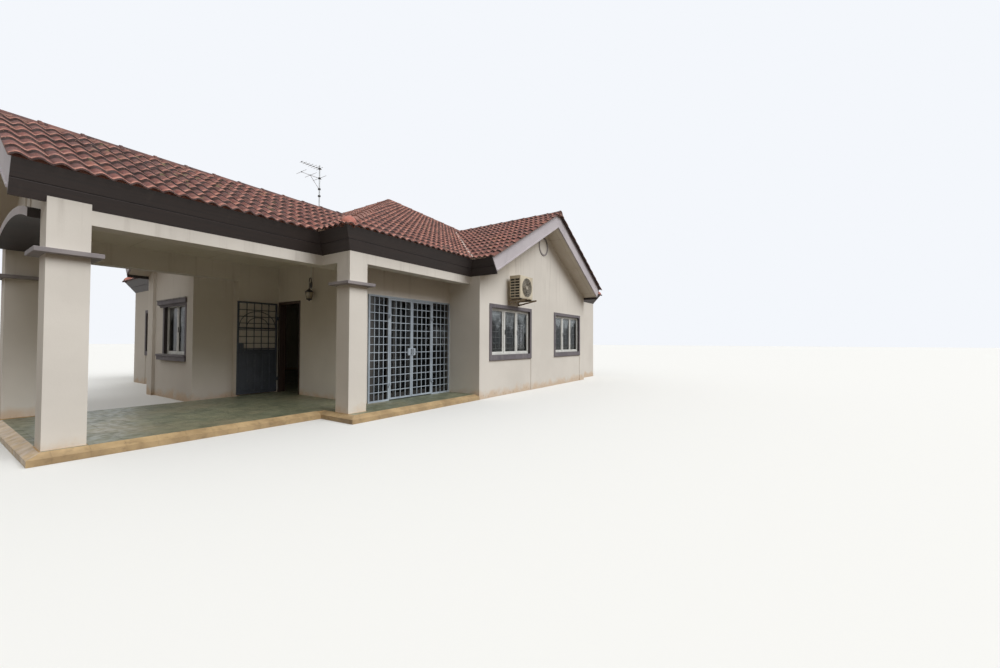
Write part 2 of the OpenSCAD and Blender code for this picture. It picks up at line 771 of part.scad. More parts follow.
module window_panels(i, y0, y1) {
    for (k = [0 : WINDOWS[i][4]])
        block([panel_x(i, k), y0, z_sill + frame_w], [panel_x(i, k) + panel_w(i), y1, z_head - frame_w]);
}

module window_frames() color(white_metal)
    for (i = [0 : len(WINDOWS) - 1])
        at_window(i) difference() {
            block([-WINDOWS[i][3] / 2, frame_back, z_sill], [WINDOWS[i][3] / 2, frame_back + frame_d, z_head]);
            window_panels(i, 0, wall_t);
        }

module window_glass() color(glass_dark)
    for (i = [0 : len(WINDOWS) - 1]) {
        y = frame_back + (frame_d - glass_t) / 2;
        at_window(i) window_panels(i, y, y + glass_t);
    }

// Square bars behind each wide window's frame
module window_grilles() color(white_metal)
    for (i = [0 : len(WINDOWS) - 1])
        if (WINDOWS[i][5]) {
            w = WINDOWS[i][3];
            y1 = frame_back + frame_d;
            across = 11;
            up = 8;
            at_window(i) {
                for (k = [0 : across])
                    translate([(k / across - 0.5) * (w - grille_bar) - grille_bar / 2, y1, z_sill])
                        cube([grille_bar, grille_bar, z_head - z_sill]);
                for (k = [0 : up])
                    translate([-w / 2, y1, z_sill + k * (z_head - z_sill - grille_bar) / up])
                        cube([w, grille_bar, grille_bar]);
            }
        }

// Dark door frame round three sides of the entrance
entrance_jamb = 60;
module entrance_frame() color(wood_dark)
    difference() {
        block([nib_x, entrance_y, z_floor], [entrance_right, entrance_y + wall_t, z_door]);
        block([nib_x + entrance_jamb, entrance_y - 1, z_floor - 1],
            [entrance_right - entrance_jamb, entrance_y + wall_t + 1, z_door - entrance_jamb]);
    }

// A flat grille in the XZ plane from X = 0 to w: a frame of stiles and rails filled with squares
module lattice(w, z0, z1, columns, bands) {
    difference() {
        block([0, 0, z0], [w, leaf_t, z1]);
        block([stile, -1, z0 + stile], [w - stile, leaf_t + 1, z1 - stile]);
    }
    y = (leaf_t - bar) / 2;
    for (k = [1 : columns - 1])
        translate([stile + k * (w - 2 * stile) / columns - bar / 2, y, z0 + stile - 1])
            cube([bar, bar, z1 - z0 - 2 * stile + 2]);
    for (k = [1 : bands - 1])
        translate([stile - 1, y, z0 + stile + k * (z1 - z0 - 2 * stile) / bands - bar / 2])
            cube([w - 2 * stile + 2, bar, bar]);
}

// Heights and places of the two lift-off hinges of a grille leaf
knuckle_h = 60;
knuckle_r = pin_r + 7;
lug_h = 16;
hinge_low = 300;
hinge_high = 410;
hinge_off = leaf_t / 2 + knuckle_r;
HINGES = [z_floor + hinge_low, z_floor + door_head - hinge_high];
z_leaf = z_floor + 20;
z_leaf_top = z_door - stile - gap;

// Bored knuckles of a leaf, round an upright axis
module knuckles() {
    for (z = HINGES)
        translate([0, 0, z]) difference() {
            cylinder(r = knuckle_r, h = knuckle_h, $fn = 24);
            translate([0, 0, -1]) cylinder(r = pin_r + pin_clear, h = knuckle_h + 2, $fn = 24);
        }
}

// Pins standing on lugs, which carry the knuckles. The lug reaches back to the plane Y = reach.
module hinge_pins(reach) {
    for (z = HINGES) {
        translate([0, 0, z - pin_clear - lug_h]) {
            cylinder(r = pin_r, h = lug_h + pin_clear + knuckle_h - 4, $fn = 24);
            cylinder(r = knuckle_r, h = lug_h, $fn = 24);
            block([-knuckle_r, 0, 0], [knuckle_r, reach, lug_h]);
        }
    }
}

// The entrance gate stands open against the side wall; closed, it turns by 90 degrees
gate_x = nib_x + 50;
gate_y = entrance_y - 36;
gate_front = gate_y - knuckle_r - 3;
module gate_hinge_pins() color(steel_blue)
    translate([gate_x, gate_y, 0]) hinge_pins(entrance_y - gate_y);

module entrance_gate() color(steel_blue) {
    z1 = z_leaf_top;
    translate([gate_x - leaf_t / 2, gate_front, 0]) rotate([0, 0, -90]) {
        lattice(gate_w, z_floor + gate_sheet_h, z1, 5, 7);
        difference() {
            block([0, 0, z_leaf], [gate_w, leaf_t, z_floor + gate_sheet_h + 1]);
            for (side = [0, 1])
                block([stile, side * (leaf_t - 10) - 1 + side, z_leaf + stile],
                    [gate_w - stile, side * (leaf_t - 10) + 10 + side, z_floor + gate_sheet_h]);
        }
    }
    translate([gate_x, gate_y, 0]) difference() {
        union() {
            knuckles();
            for (z = HINGES)
                block([-6, -knuckle_r - 5, z], [6, -pin_r - 3, z + knuckle_h]);
        }
        for (z = HINGES)
            translate([0, 0, z - 1]) cylinder(r = pin_r + pin_clear, h = knuckle_h + 2, $fn = 24);
    }
}

// Plane of the verandah grille's back, on the wall ends
grille_y0 = entrance_y + 20;
grille_y1 = verandah_end_y;
leaf_mid = (grille_y0 + grille_y1) / 2 - 50;
left_hinge_y = leaf_mid - leaf_w - gap;
right_hinge_y = leaf_mid + leaf_w + gap;

// Fixed side lattices and the head rail over the leaves, with the hinge pins of both leaves
module verandah_grille() color(steel_blue) {
    for (s = [[grille_y0, left_hinge_y - gap / 2], [right_hinge_y + gap / 2, grille_y1]])
        translate([door_wall_x + leaf_t, s[0], 0]) rotate([0, 0, 90])
            lattice(s[1] - s[0], z_floor, z_door, cols, rows);
    block([door_wall_x, left_hinge_y - gap, z_door - stile],
        [door_wall_x + leaf_t, right_hinge_y + gap, z_door]);
    for (s = [[left_hinge_y, 1], [right_hinge_y, -1]])
        translate([door_wall_x + leaf_t + knuckle_r + 2, s[0], 0])
            for (z = HINGES)
                translate([0, 0, z - pin_clear - lug_h]) {
                    cylinder(r = pin_r, h = lug_h + pin_clear + knuckle_h - 4, $fn = 24);
                    block([-knuckle_r - 2, min(0, -s[1] * 30), 0], [knuckle_r, max(0, -s[1] * 30), lug_h]);
                }
}

// One grille leaf. side = 1 for the leaf hung on the left post, -1 for the right.
module grille_leaf(hinge_y, side) color(steel_blue) {
    y0 = side > 0 ? hinge_y + gap / 2 : hinge_y - gap / 2 - leaf_w;
    translate([door_wall_x + leaf_t, y0, 0]) rotate([0, 0, 90]) lattice(leaf_w, z_leaf, z_leaf_top, cols, rows);
    translate([door_wall_x + leaf_t + knuckle_r + 2, hinge_y, 0]) difference() {
        union() {
            knuckles();
            for (z = HINGES)
                block([-knuckle_r - 2, min(side * 8, side * 30), z], [-2, max(side * 8, side * 30), z + knuckle_h]);
        }
        for (z = HINGES)
            translate([0, 0, z - 1]) cylinder(r = pin_r + pin_clear, h = knuckle_h + 2, $fn = 24);
    }
}

module grille_leaf_left() grille_leaf(left_hinge_y, 1);
module grille_leaf_right() grille_leaf(right_hinge_y, -1);

// Glazed sliding door inside the wall: two fixed outer panels, two sliding inner ones
door_frame_w = 40;
panel_t = 30;
slide_y0 = entrance_y + wall_t;
slide_y1 = verandah_end_y;
slide_mid = (slide_y0 + slide_y1) / 2;
slide_panel = (slide_y1 - slide_y0 - 2 * door_frame_w) / 4 + 15;
fixed_x = door_wall_x - 50;
moving_x = fixed_x - panel_t - gap;

// A glazed panel along Y, with its outer face at x
module glazed_panel(x, y0, y1) {
    z0 = z_floor + door_frame_w;
    z1 = z_door - door_frame_w;
    difference() {
        block([x - panel_t, y0, z0], [x, y1, z1]);
        block([x - panel_t - 1, y0 + door_frame_w, z0 + 2 * door_frame_w],
            [x - panel_t / 2 - glass_t / 2, y1 - door_frame_w, z1 - door_frame_w]);
        block([x - panel_t / 2 + glass_t / 2, y0 + door_frame_w, z0 + 2 * door_frame_w],
            [x + 1, y1 - door_frame_w, z1 - door_frame_w]);
    }
}

module sliding_frame() color(white_metal) {
    x0 = moving_x - panel_t - gap;
    difference() {
        block([x0, slide_y0, z_floor], [fixed_x + 5, slide_y1, z_door]);
        block([x0 - 1, slide_y0 + door_frame_w, z_floor + door_frame_w],
            [fixed_x + 6, slide_y1 - door_frame_w, z_door - door_frame_w]);
    }
    glazed_panel(fixed_x, slide_y0 + door_frame_w, slide_y0 + door_frame_w + slide_panel);
    glazed_panel(fixed_x, slide_y1 - door_frame_w - slide_panel, slide_y1 - door_frame_w);
}

// A sliding panel hangs clear of the track by a hair and runs behind the fixed ones
module sliding_panel(y0, y1) color(white_metal)
    intersection() {
        glazed_panel(moving_x, y0, y1);
        block([moving_x - panel_t, y0, z_floor + door_frame_w + pin_clear],
            [moving_x, y1, z_door - door_frame_w - pin_clear]);
    }

module sliding_panel_left() sliding_panel(slide_mid - gap / 2 - slide_panel, slide_mid - gap / 2);
module sliding_panel_right() sliding_panel(slide_mid + gap / 2, slide_mid + gap / 2 + slide_panel);

// Outdoor cooling unit on two steel brackets, over the front gable window
module cooling_unit() color(ivory)
    difference() {
        block([wing_x + unit_back, unit_y, z_floor + unit_z],
            [wing_x + unit_back + unit_d, unit_y + unit_w, z_floor + unit_z + unit_h]);
        translate([wing_x + unit_back + unit_d - 20, unit_y + unit_w * 0.6, z_floor + unit_z + unit_h / 2])
            rotate([0, 90, 0]) cylinder(r = unit_h * 0.4, h = 30, $fn = 48);
    }

module cooling_brackets() color(fascia_brown)
    for (y = [unit_y + 60, unit_y + unit_w - 90]) {
        arm = unit_back + unit_d + arm_past;
        translate([wing_x, y + 30, z_floor + unit_z]) rotate([90, 0, 0]) linear_extrude(30)
            difference() {
                polygon([[0, 0], [arm, 0], [arm, -30], [30, -bracket_h], [0, -bracket_h]]);
                polygon([[30, -30], [arm - 160, -30], [30, 35 - bracket_h]]);
            }
    }

// Wall lantern that hangs from a bracket beside the entrance
module entrance_lamp() color(fascia_brown)
    translate([entrance_right + lamp_along, entrance_y, z_floor + lamp_foot]) {
        lamp_h = 3 * lamp_r;
        block([-40, -15, lamp_h], [40, 0, 2 * lamp_h]);
        block([-10, -lamp_out - 10, 2 * lamp_h - 40], [10, -15, 2 * lamp_h - 20]);
        translate([0, -lamp_out, 0]) cylinder(r = lamp_r, h = lamp_h, $fn = 48);
        translate([0, -lamp_out, lamp_h]) cylinder(r = 10, h = lamp_h - 30, $fn = 24);
    }

// Aerial on a mast that stands on the main roof's front slope
mast_r = 14;
rod_r = 6;
module roof_aerial() color(white_metal)
    translate([aerial_x, aerial_y, aerial_foot]) {
        difference() {
            union() {
                translate([0, 0, -mast_r]) cylinder(r = mast_r, h = mast_h + mast_r, $fn = 24);
                rotate([roof_pitch, 0, 0]) block([-60, -60, 0], [60, 60, 8]);
            }
            rotate([roof_pitch, 0, 0]) block([-70, -70, -100], [70, 70, seat]);
        }
        for (z = [mast_h - 90, mast_h - 90 - boom_gap])
            block([-rod_r, -boom_l, z - rod_r], [rod_r, 60, z + rod_r]);
        for (k = [0 : 6])
            translate([0, rod_r - boom_l * k / 6, mast_h - 90])
                block([12 * k - 150, -rod_r, -rod_r], [150 - 12 * k, rod_r, rod_r]);
        for (k = [0 : 2])
            translate([0, rod_r - boom_l * k / 2, mast_h - 90 - boom_gap])
                block([40 * k - 300, -rod_r, -rod_r], [300 - 40 * k, rod_r, rod_r]);
    }

house_floor();
porch_floor();
verandah_floor();
porch_column_near();
porch_column_far();
verandah_column();
column_mouldings();
porch_beam_near();
porch_beam_far();
verandah_beams();
porch_arch();
porch_gable_wall();
house_ceiling();
porch_ceiling();
verandah_ceiling();
entrance_wall();
entrance_lintel();
porch_side_wall();
bay_front_wall();
bay_side_walls();
front_wall();
far_wall();
rear_wall();
garden_rear_wall();
gable_wall();
verandah_side_wall();
sliding_door_lintel();
main_roof();
wing_roof();
porch_roof();
bay_roof();
ridge_caps();
hip_caps();
side_fascias();
front_rear_fascias();
left_barge_boards();
right_barge_boards();
verge_soffits();
gable_ring();
window_surrounds();
window_frames();
window_glass();
window_grilles();
entrance_frame();
gate_hinge_pins();
entrance_gate();
verandah_grille();
grille_leaf_left();
grille_leaf_right();
sliding_frame();
sliding_panel_left();
sliding_panel_right();
cooling_unit();
cooling_brackets();
entrance_lamp();
roof_aerial();
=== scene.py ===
import math

import bmesh
import bpy
import numpy as np
from mathutils import Matrix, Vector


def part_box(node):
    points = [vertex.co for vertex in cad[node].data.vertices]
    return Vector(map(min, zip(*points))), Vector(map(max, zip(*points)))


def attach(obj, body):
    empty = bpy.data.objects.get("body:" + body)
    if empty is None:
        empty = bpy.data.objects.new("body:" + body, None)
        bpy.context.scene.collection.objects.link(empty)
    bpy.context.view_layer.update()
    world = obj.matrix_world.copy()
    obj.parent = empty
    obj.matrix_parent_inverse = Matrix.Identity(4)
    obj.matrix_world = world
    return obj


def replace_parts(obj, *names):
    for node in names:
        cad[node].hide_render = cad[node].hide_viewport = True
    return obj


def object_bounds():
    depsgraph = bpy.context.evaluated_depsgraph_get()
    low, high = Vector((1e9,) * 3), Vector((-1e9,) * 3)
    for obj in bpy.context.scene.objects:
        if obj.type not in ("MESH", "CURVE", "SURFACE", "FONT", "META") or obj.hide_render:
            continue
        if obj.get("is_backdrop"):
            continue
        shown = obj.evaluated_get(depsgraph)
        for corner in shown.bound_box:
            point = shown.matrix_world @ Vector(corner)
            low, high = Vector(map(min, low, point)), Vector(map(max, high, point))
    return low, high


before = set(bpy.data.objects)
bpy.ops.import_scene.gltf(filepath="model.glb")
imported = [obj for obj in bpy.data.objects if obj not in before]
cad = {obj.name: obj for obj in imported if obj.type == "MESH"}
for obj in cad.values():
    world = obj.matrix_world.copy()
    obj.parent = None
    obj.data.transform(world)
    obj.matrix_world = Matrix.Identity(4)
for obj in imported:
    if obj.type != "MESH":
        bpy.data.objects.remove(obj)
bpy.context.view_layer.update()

# ---- Floors ----
# The porch, the verandah and the rooms have a concrete slab laid with matt green-grey
# tiles in a straight grid. A kerb of bare sand cement, stained ochre, slopes down outside.
FLOOR_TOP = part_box("porch_floor")[1].z
FLOOR_TILE, FLOOR_JOINT = 0.30, 0.004
MERGE_WITHIN, CREASE = 0.00002, 40


def rgb(red, green, blue):
    """An sRGB colour from 0 to 255 as the linear colour that a shader takes."""
    part = np.array([red, green, blue]) / 255
    linear = np.where(part > 0.04045, ((part + 0.055) / 1.055) ** 2.4, part / 12.92)
    return (*linear.tolist(), 1.0)


def add(tree, kind, inputs=None, **settings):
    """One shader node. Each input is named or numbered, and gets a value or another node's output."""
    node = tree.nodes.new("ShaderNode" + kind)
    for key, value in settings.items():
        setattr(node, key, value)
    for key, value in (inputs or {}).items():
        if isinstance(value, bpy.types.NodeSocket):
            tree.links.new(value, node.inputs[key])
        else:
            node.inputs[key].default_value = value
    return node


def new_material(name, roughness):
    """A material, its node tree and its surface shader."""
    material = bpy.data.materials.new(name)
    material.use_nodes = True
    shader = material.node_tree.nodes["Principled BSDF"]
    shader.inputs["Roughness"].default_value = roughness
    return material, material.node_tree, shader


def colour_in(tree, shader, colour):
    """Feeds the shader's base colour."""
    tree.links.new(colour, shader.inputs["Base Color"])


def place(tree, stretch=(1, 1, 1)):
    """Object coordinates in metres, squeezed by the stretch."""
    coordinates = add(tree, "TexCoord").outputs["Object"]
    return add(tree, "Mapping", {"Vector": coordinates, "Scale": stretch}).outputs[0]


def noise(tree, scale, detail, stretch=(1, 1, 1)):
    """Cloudy noise round 0.5, fixed to the object."""
    settings = {"Vector": place(tree, stretch), "Scale": scale, "Detail": detail, "Roughness": 0.55}
    return add(tree, "TexNoise", settings).outputs[0]


def span(tree, value, low, high, out_low=0.0, out_high=1.0):
    """The value's range from low to high carried over smoothly to the new range, and held outside it."""
    limits = {"Value": value, "From Min": low, "From Max": high, "To Min": out_low, "To Max": out_high}
    return add(tree, "MapRange", limits, interpolation_type="SMOOTHSTEP").outputs[0]


def clouds(tree, pattern, low, high, out_low=0.0, out_high=1.0):
    """A noise's range carried over to a new one. The pattern is the noise's scale, detail and stretch."""
    return span(tree, noise(tree, *pattern), low, high, out_low, out_high)


def sums(tree, operation, first, second=0.0, third=0.0):
    """One step of arithmetic on shader values."""
    return add(tree, "Math", {0: first, 1: second, 2: third}, operation=operation).outputs[0]


def mix(tree, factor, first, second):
    """Two colours mixed by a factor from 0 to 1. Each is a shader value or three sRGB numbers."""
    first, second = (rgb(*colour) if isinstance(colour, tuple) else colour for colour in (first, second))
    return add(tree, "Mix", {0: factor, 6: first, 7: second}, data_type="RGBA").outputs[2]


def stained(tree, colour, pattern, low, high, amount, stain):
    """A colour with a stain that appears as the noise rises from low to high, up to the amount."""
    return mix(tree, clouds(tree, pattern, low, high, 0.0, amount), colour, stain)


def parts(tree, vector):
    """The X, Y and Z of a vector."""
    return add(tree, "SeparateXYZ", {0: vector}).outputs


def facing(tree, axis):
    """How far the surface faces along the house's X, Y or Z, numbered from 0."""
    return parts(tree, add(tree, "TexCoord").outputs["Normal"])[axis]


def squares(tree, size, joint, softness, first, second, between):
    """A straight grid of square pieces in two shades, as its colour and the mask of its joints."""
    settings = {"Vector": place(tree), "Scale": 1.0, "Brick Width": size, "Row Height": size}
    settings |= {"Mortar Size": joint, "Mortar Smooth": softness}
    settings |= {"Color1": rgb(*first), "Color2": rgb(*second), "Mortar": rgb(*between)}
    return add(tree, "TexBrick", settings, offset=0.0).outputs


def bump(tree, shader, height, distance):
    """Small relief on the shader, with the height in units of distance in metres."""
    relief = add(tree, "Bump", {"Height": height, "Distance": distance})
    tree.links.new(relief.outputs[0], shader.inputs["Normal"])


def linked(name, data):
    """An object of the scene that shows the data."""
    piece = bpy.data.objects.new(name, data)
    bpy.context.collection.objects.link(piece)
    return piece


def round_edges(piece, width, segments=2):
    """A small bevel on every sharp edge, so that it catches the light."""
    modifier = piece.modifiers.new("edge", "BEVEL")
    modifier.width = width
    modifier.segments = segments
    modifier.limit_method = "ANGLE"
    modifier.angle_limit = math.radians(CREASE)
    return piece


def dress(node, material, edge=0.0, body="house"):
    """Gives a node of the frame its material. Where an edge width is given, a merged copy with
    its sharp edges rounded by that width stands for the node."""
    piece = cad[node]
    if edge:
        shape = bmesh.new()
        shape.from_mesh(piece.data)
        bmesh.ops.remove_doubles(shape, verts=shape.verts, dist=MERGE_WITHIN)
        mesh = bpy.data.meshes.new(node + "_finished")
        shape.to_mesh(mesh)
        shape.free()
        piece = linked(node + "_finished", mesh)
        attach(piece, body)
        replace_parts(piece, node)
        round_edges(piece, edge)
    piece.data.materials.clear()
    piece.data.materials.append(material)


floor_finish, tree, shader = new_material("floor_tile", 0.45)
tiled = squares(tree, FLOOR_TILE, FLOOR_JOINT, 0.3, (114, 118, 96), (97, 103, 83), (84, 84, 76))
dusty = stained(tree, tiled["Color"], (5.0, 6), 0.35, 0.7, 1.0, (132, 132, 107))
dusty = stained(tree, dusty, (0.8, 5), 0.45, 0.75, 0.55, (150, 138, 112))
cement = mix(tree, clouds(tree, (4.0, 8), 0.3, 0.7), (198, 170, 128), (166, 140, 104))
cement = stained(tree, cement, (14.0, 8), 0.5, 0.8, 0.5, (112, 94, 72))
bare = span(tree, facing(tree, 2), 0.99, 0.999, 1.0, 0.0)
colour_in(tree, shader, mix(tree, bare, dusty, cement))
tree.links.new(clouds(tree, (9.0, 6), 0.3, 0.8, 0.3, 0.62), shader.inputs["Roughness"])
joints = sums(tree, "MULTIPLY", tiled["Fac"], -1.0)
bump(tree, shader, sums(tree, "MULTIPLY_ADD", noise(tree, 30.0, 4), 0.3, joints), 0.003)
for node in ("house_floor", "porch_floor", "verandah_floor"):
    dress(node, floor_finish)

# ---- Walls, columns and beams ----
# Brick walls and concrete columns, plastered smooth and painted warm off-white. Rain has
# stained the paint ochre near the ground and greyed it in faint streaks under the eaves.
WALLS = [
    "porch_column_near", "porch_column_far", "verandah_column", "porch_beam_near", "porch_beam_far",
    "verandah_beams", "porch_gable_wall", "entrance_wall", "entrance_lintel", "porch_side_wall",
    "bay_front_wall", "bay_side_walls", "front_wall", "far_wall", "rear_wall", "garden_rear_wall",
    "gable_wall", "verandah_side_wall", "sliding_door_lintel",
]  # fmt: skip
COLUMN_EDGE = 0.006

plaster_finish, tree, shader = new_material("plaster", 0.82)
height = parts(tree, place(tree))[2]
paint = mix(tree, clouds(tree, (0.6, 5), 0.35, 0.7), (230, 224, 215), (220, 214, 205))
streaks = clouds(tree, (1.0, 5, (9, 9, 0.5)), 0.52, 0.8, 0.0, 0.5)
streaks = sums(tree, "MULTIPLY", streaks, span(tree, height, 1.6, 3.2))
paint = mix(tree, streaks, paint, (178, 170, 160))
ragged = sums(tree, "MULTIPLY_ADD", noise(tree, 2.6, 6), -0.55, height)
paint = mix(tree, span(tree, ragged, -0.26, -0.04, 0.6, 0.0), paint, (214, 180, 140))
splash = sums(tree, "MULTIPLY", clouds(tree, (22.0, 5), 0.5, 0.72), span(tree, height, 0.0, 0.22, 0.45, 0.0))
colour_in(tree, shader, mix(tree, splash, paint, (150, 124, 94)))
bump(tree, shader, sums(tree, "MULTIPLY_ADD", noise(tree, 70.0, 3), 0.35, noise(tree, 7.0, 4)), 0.0018)
for node in WALLS:
    dress(node, plaster_finish, COLUMN_EDGE if "column" in node else 0.0)

# ---- Column caps and plinths ----
# Each column has a flat cement cap ring painted dark lilac-grey, and stands in a low
# plinth ring of the same cement as the kerb. The caps' edges are rounded by the trowel.
CAST_EDGE = 0.004
cement_paints = {}
for name, fresh, faded in (
    ("trim", (116, 110, 114), (98, 93, 98)),
    ("ring_paint", (156, 149, 149), (132, 126, 128)),
):
    cement_paints[name], tree, shader = new_material(name, 0.8)
    grey = mix(tree, clouds(tree, (2.0, 6), 0.3, 0.7), fresh, faded)
    grey = stained(tree, grey, (1.0, 5, (14, 14, 1.5)), 0.5, 0.8, 0.45, (150, 144, 140))
    ochre = mix(tree, clouds(tree, (6.0, 8), 0.35, 0.7), (196, 162, 112), (158, 128, 90))
    plinth = span(tree, parts(tree, place(tree))[2], 0.14, 0.16, 1.0, 0.0)
    colour_in(tree, shader, mix(tree, plinth, grey, ochre))
    bump(tree, shader, noise(tree, 45.0, 4), 0.002)
dress("window_surrounds", cement_paints["trim"], CAST_EDGE)
for node in ("column_mouldings", "gable_ring"):
    dress(node, cement_paints["ring_paint"], CAST_EDGE)

# ---- Porch arch ----
# A segmental arch hood of cement stands forward of the porch's gable wall. Its face is
# painted light lilac-grey, and its underside and ends the dark brown of the fascias.
arch_finish, tree, shader = new_material("arch_plaster", 0.8)
lilac = mix(tree, clouds(tree, (1.5, 6), 0.3, 0.7), (204, 198, 201), (188, 182, 185))
brown = mix(tree, clouds(tree, (3.0, 6), 0.3, 0.7), (54, 46, 42), (44, 38, 35))
colour_in(tree, shader, mix(tree, span(tree, facing(tree, 1), -0.6, -0.5), lilac, brown))
bump(tree, shader, noise(tree, 40.0, 4), 0.0015)
dress("porch_arch", arch_finish, 0.003)

# ---- Ceilings and verge soffits ----
# Flat fibre-cement boards on a hidden frame, painted beige, close the rooms, the porch
# and the verandah above, and the gables' verges below. Thin joints part the boards.
CEILING_BOARD, BOARD_JOINT = 1.22, 0.003
ceiling_finish, tree, shader = new_material("ceiling_board", 0.75)
boards = squares(tree, CEILING_BOARD, BOARD_JOINT, 0.1, (238, 232, 220), (231, 224, 211), (190, 180, 162))
colour_in(tree, shader, stained(tree, boards["Color"], (1.4, 6), 0.5, 0.8, 0.5, (214, 203, 182)))
bump(tree, shader, sums(tree, "MULTIPLY", boards["Fac"], -1.0), 0.002)
for node in ("house_ceiling", "porch_ceiling", "verandah_ceiling", "verge_soffits"):
    dress(node, ceiling_finish)

# ---- Roof tiles ----
# Interlocking clay tiles, each two waves wide, hang on battens in straight courses. Every
# nose laps the course below, and the first course reaches over the fascia as a wavy lip.
PITCH = math.radians(29)
RISE = math.tan(PITCH)
SIDE, OVERHANG = 5.5, 0.22
EAVE = SIDE + OVERHANG
REACH = 0.05
EAVE_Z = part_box("side_fascias")[1].z
WING_Y, WING_SPAN, WING_END = 0.8, 3.3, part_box("wing_roof")[1].x
PORCH_X, PORCH_SPAN, PORCH_END = 3.015, 1.925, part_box("porch_roof")[0].y
BAY_X, BAY_SPAN, BAY_END = -0.07, 1.6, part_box("bay_roof")[0].y
MEET_X = 1.31
COURSE = 0.286
TILE_W = 0.31
BED, STEP, SWELL, LAP, NOSE = 0.004, 0.030, 0.036, 0.004, 0.018
TILT, SLIDE, SIDE_GAP = 0.0035, 0.003, 0.003
LIP_BACK, CHART_LEAD, PAST_TOP, AT_VERGE, TILE_CREASE = 0.002, 0.0015, 0.02, 0.004, 42
CUT_LOW, CUT_HIGH = 1.0, 8.0
ACROSS = 17
DOWN_PARTS = np.array([0.0, 0.035, 0.30, 0.65, 1.0])
ROUNDED_NOSE = np.array([0.84, 1.0, 1.0, 1.0, 1.0])
seeded = np.random.default_rng(29)


def random_shade(tree, *numbers):
    """A random value for each set of three numbers."""
    vector = add(tree, "CombineXYZ", dict(enumerate(numbers))).outputs[0]
    return add(tree, "TexWhiteNoise", {"Vector": vector}, noise_dimensions="3D").outputs[0]


tile_finish, tree, shader = new_material("roof_tile", 0.78)
chart = parts(tree, add(tree, "UVMap", uv_map="tiles").outputs[0])
shade = random_shade(tree, sums(tree, "FLOOR", chart[0]), sums(tree, "FLOOR", chart[1]), 0.0)
down = sums(tree, "FRACT", chart[1])
clay = mix(tree, shade, (126, 71, 60), (91, 51, 44))
clay = mix(tree, span(tree, shade, 0.84, 0.9, 0, 0.6), clay, (150, 90, 72))
clay = stained(tree, clay, (0.5, 5), 0.42, 0.72, 0.6, (84, 54, 48))
# Darker in each wave's trough: partly grime, partly painted shade beside the lit crests.
phase = sums(tree, "FRACT", sums(tree, "MULTIPLY", chart[0], 2.0))
crest = sums(tree, "SUBTRACT", 1.0, sums(tree, "ABSOLUTE", sums(tree, "MULTIPLY_ADD", phase, 2.0, -1.0)))
clay = mix(tree, span(tree, crest, 0.0, 0.5, 0.34, 0.0), clay, (58, 33, 28))
# Pale noses: partly wear, partly a painted highlight where each nose catches the light.
worn_and_highlit = sums(tree, "MULTIPLY", span(tree, down, 0.03, 0.38, 0.80, 0.0), clouds(tree, (13.0, 6), 0.34, 0.6))
clay = mix(tree, worn_and_highlit, clay, (210, 149, 131))
# Darker heads under the next course's nose: partly soot, partly painted shade.
soot_and_shade = clouds(tree, (9.0, 6), 0.25, 0.55, 0.4, 1.0)
soot_and_shade = sums(tree, "MULTIPLY", span(tree, down, 0.70, 0.92, 0.0, 0.85), soot_and_shade)
clay = mix(tree, soot_and_shade, clay, (52, 28, 24))
# A near-black line just under each nose and on its riser is painted shadow.
under = sums(tree, "ADD", span(tree, down, 0.90, 0.96), span(tree, down, 0.016, 0.028, 1.0, 0.0))
clay = mix(tree, sums(tree, "MULTIPLY", under, 0.92), clay, (30, 13, 10))
# Painted shade on faces that look downwards, such as the undersides of the eave lips.
clay = mix(tree, span(tree, facing(tree, 2), -0.5, 0.0, 0.9, 0.0), clay, (40, 28, 25))
clay = stained(tree, clay, (42.0, 6), 0.62, 0.7, 0.55, (168, 134, 112))
lichen = sums(tree, "MULTIPLY", clouds(tree, (7.0, 8), 0.6, 0.68), clouds(tree, (0.9, 3), 0.5, 0.6, 0, 0.6))
colour_in(tree, shader, mix(tree, lichen, clay, (140, 128, 92)))
tree.links.new(clouds(tree, (12.0, 5), 0.3, 0.7, 0.6, 0.85), shader.inputs["Roughness"])
bump(tree, shader, noise(tree, 60.0, 6), 0.002)


def finish(
    name, roughness, fresh, aged, pattern, *stains, low=0.35, high=0.7, sheen=None, grain=None, **sockets
):
    """A material of two colours in clouds, with stains laid over them in turn.
    Each stain is a noise's pattern, the range over which it appears, its amount and colour. The
    sheen is a pattern and two roughnesses, and the grain a pattern and a depth in metres. Any
    further value goes to the shader's socket of that name."""
    material, tree, shader = new_material(name, roughness)
    colour = mix(tree, clouds(tree, pattern, low, high), fresh, aged)
    for stain in stains:
        colour = stained(tree, colour, *stain)
    colour_in(tree, shader, colour)
    if sheen:
        tree.links.new(clouds(tree, sheen[0], 0.3, 0.7, *sheen[1:]), shader.inputs["Roughness"])
    if grain:
        bump(tree, shader, noise(tree, *grain[0]), grain[1])
    for socket, value in sockets.items():
        shader.inputs[socket].default_value = value
    return material


mortars = {
    name: finish(name, 0.9, fresh, aged, (6.0, 8), ((18.0, 6), 0.5, 0.75, 0.7, stain),
        ((2.2, 6), 0.6, 0.68, 0.75, (214, 200, 186)), low=0.3, grain=((50.0, 8), 0.006))
    for name, fresh, aged, stain in (
        ("mortar", (150, 114, 102), (122, 88, 78), (72, 50, 45)),
        ("white_mortar", (218, 198, 188), (190, 168, 158), (116, 92, 84)),
    )
}  # fmt: skip


def new_mesh(name, points, faces, material, body="house"):
    """A piece from its corner points and faces, riding on a body of the house."""
    mesh = bpy.data.meshes.new(name)
    mesh.from_pydata(np.asarray(points, float).tolist(), [], [list(map(int, face)) for face in faces])
    piece = linked(name, mesh)
    mesh.materials.append(material)
    if body:
        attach(piece, body)
    return piece


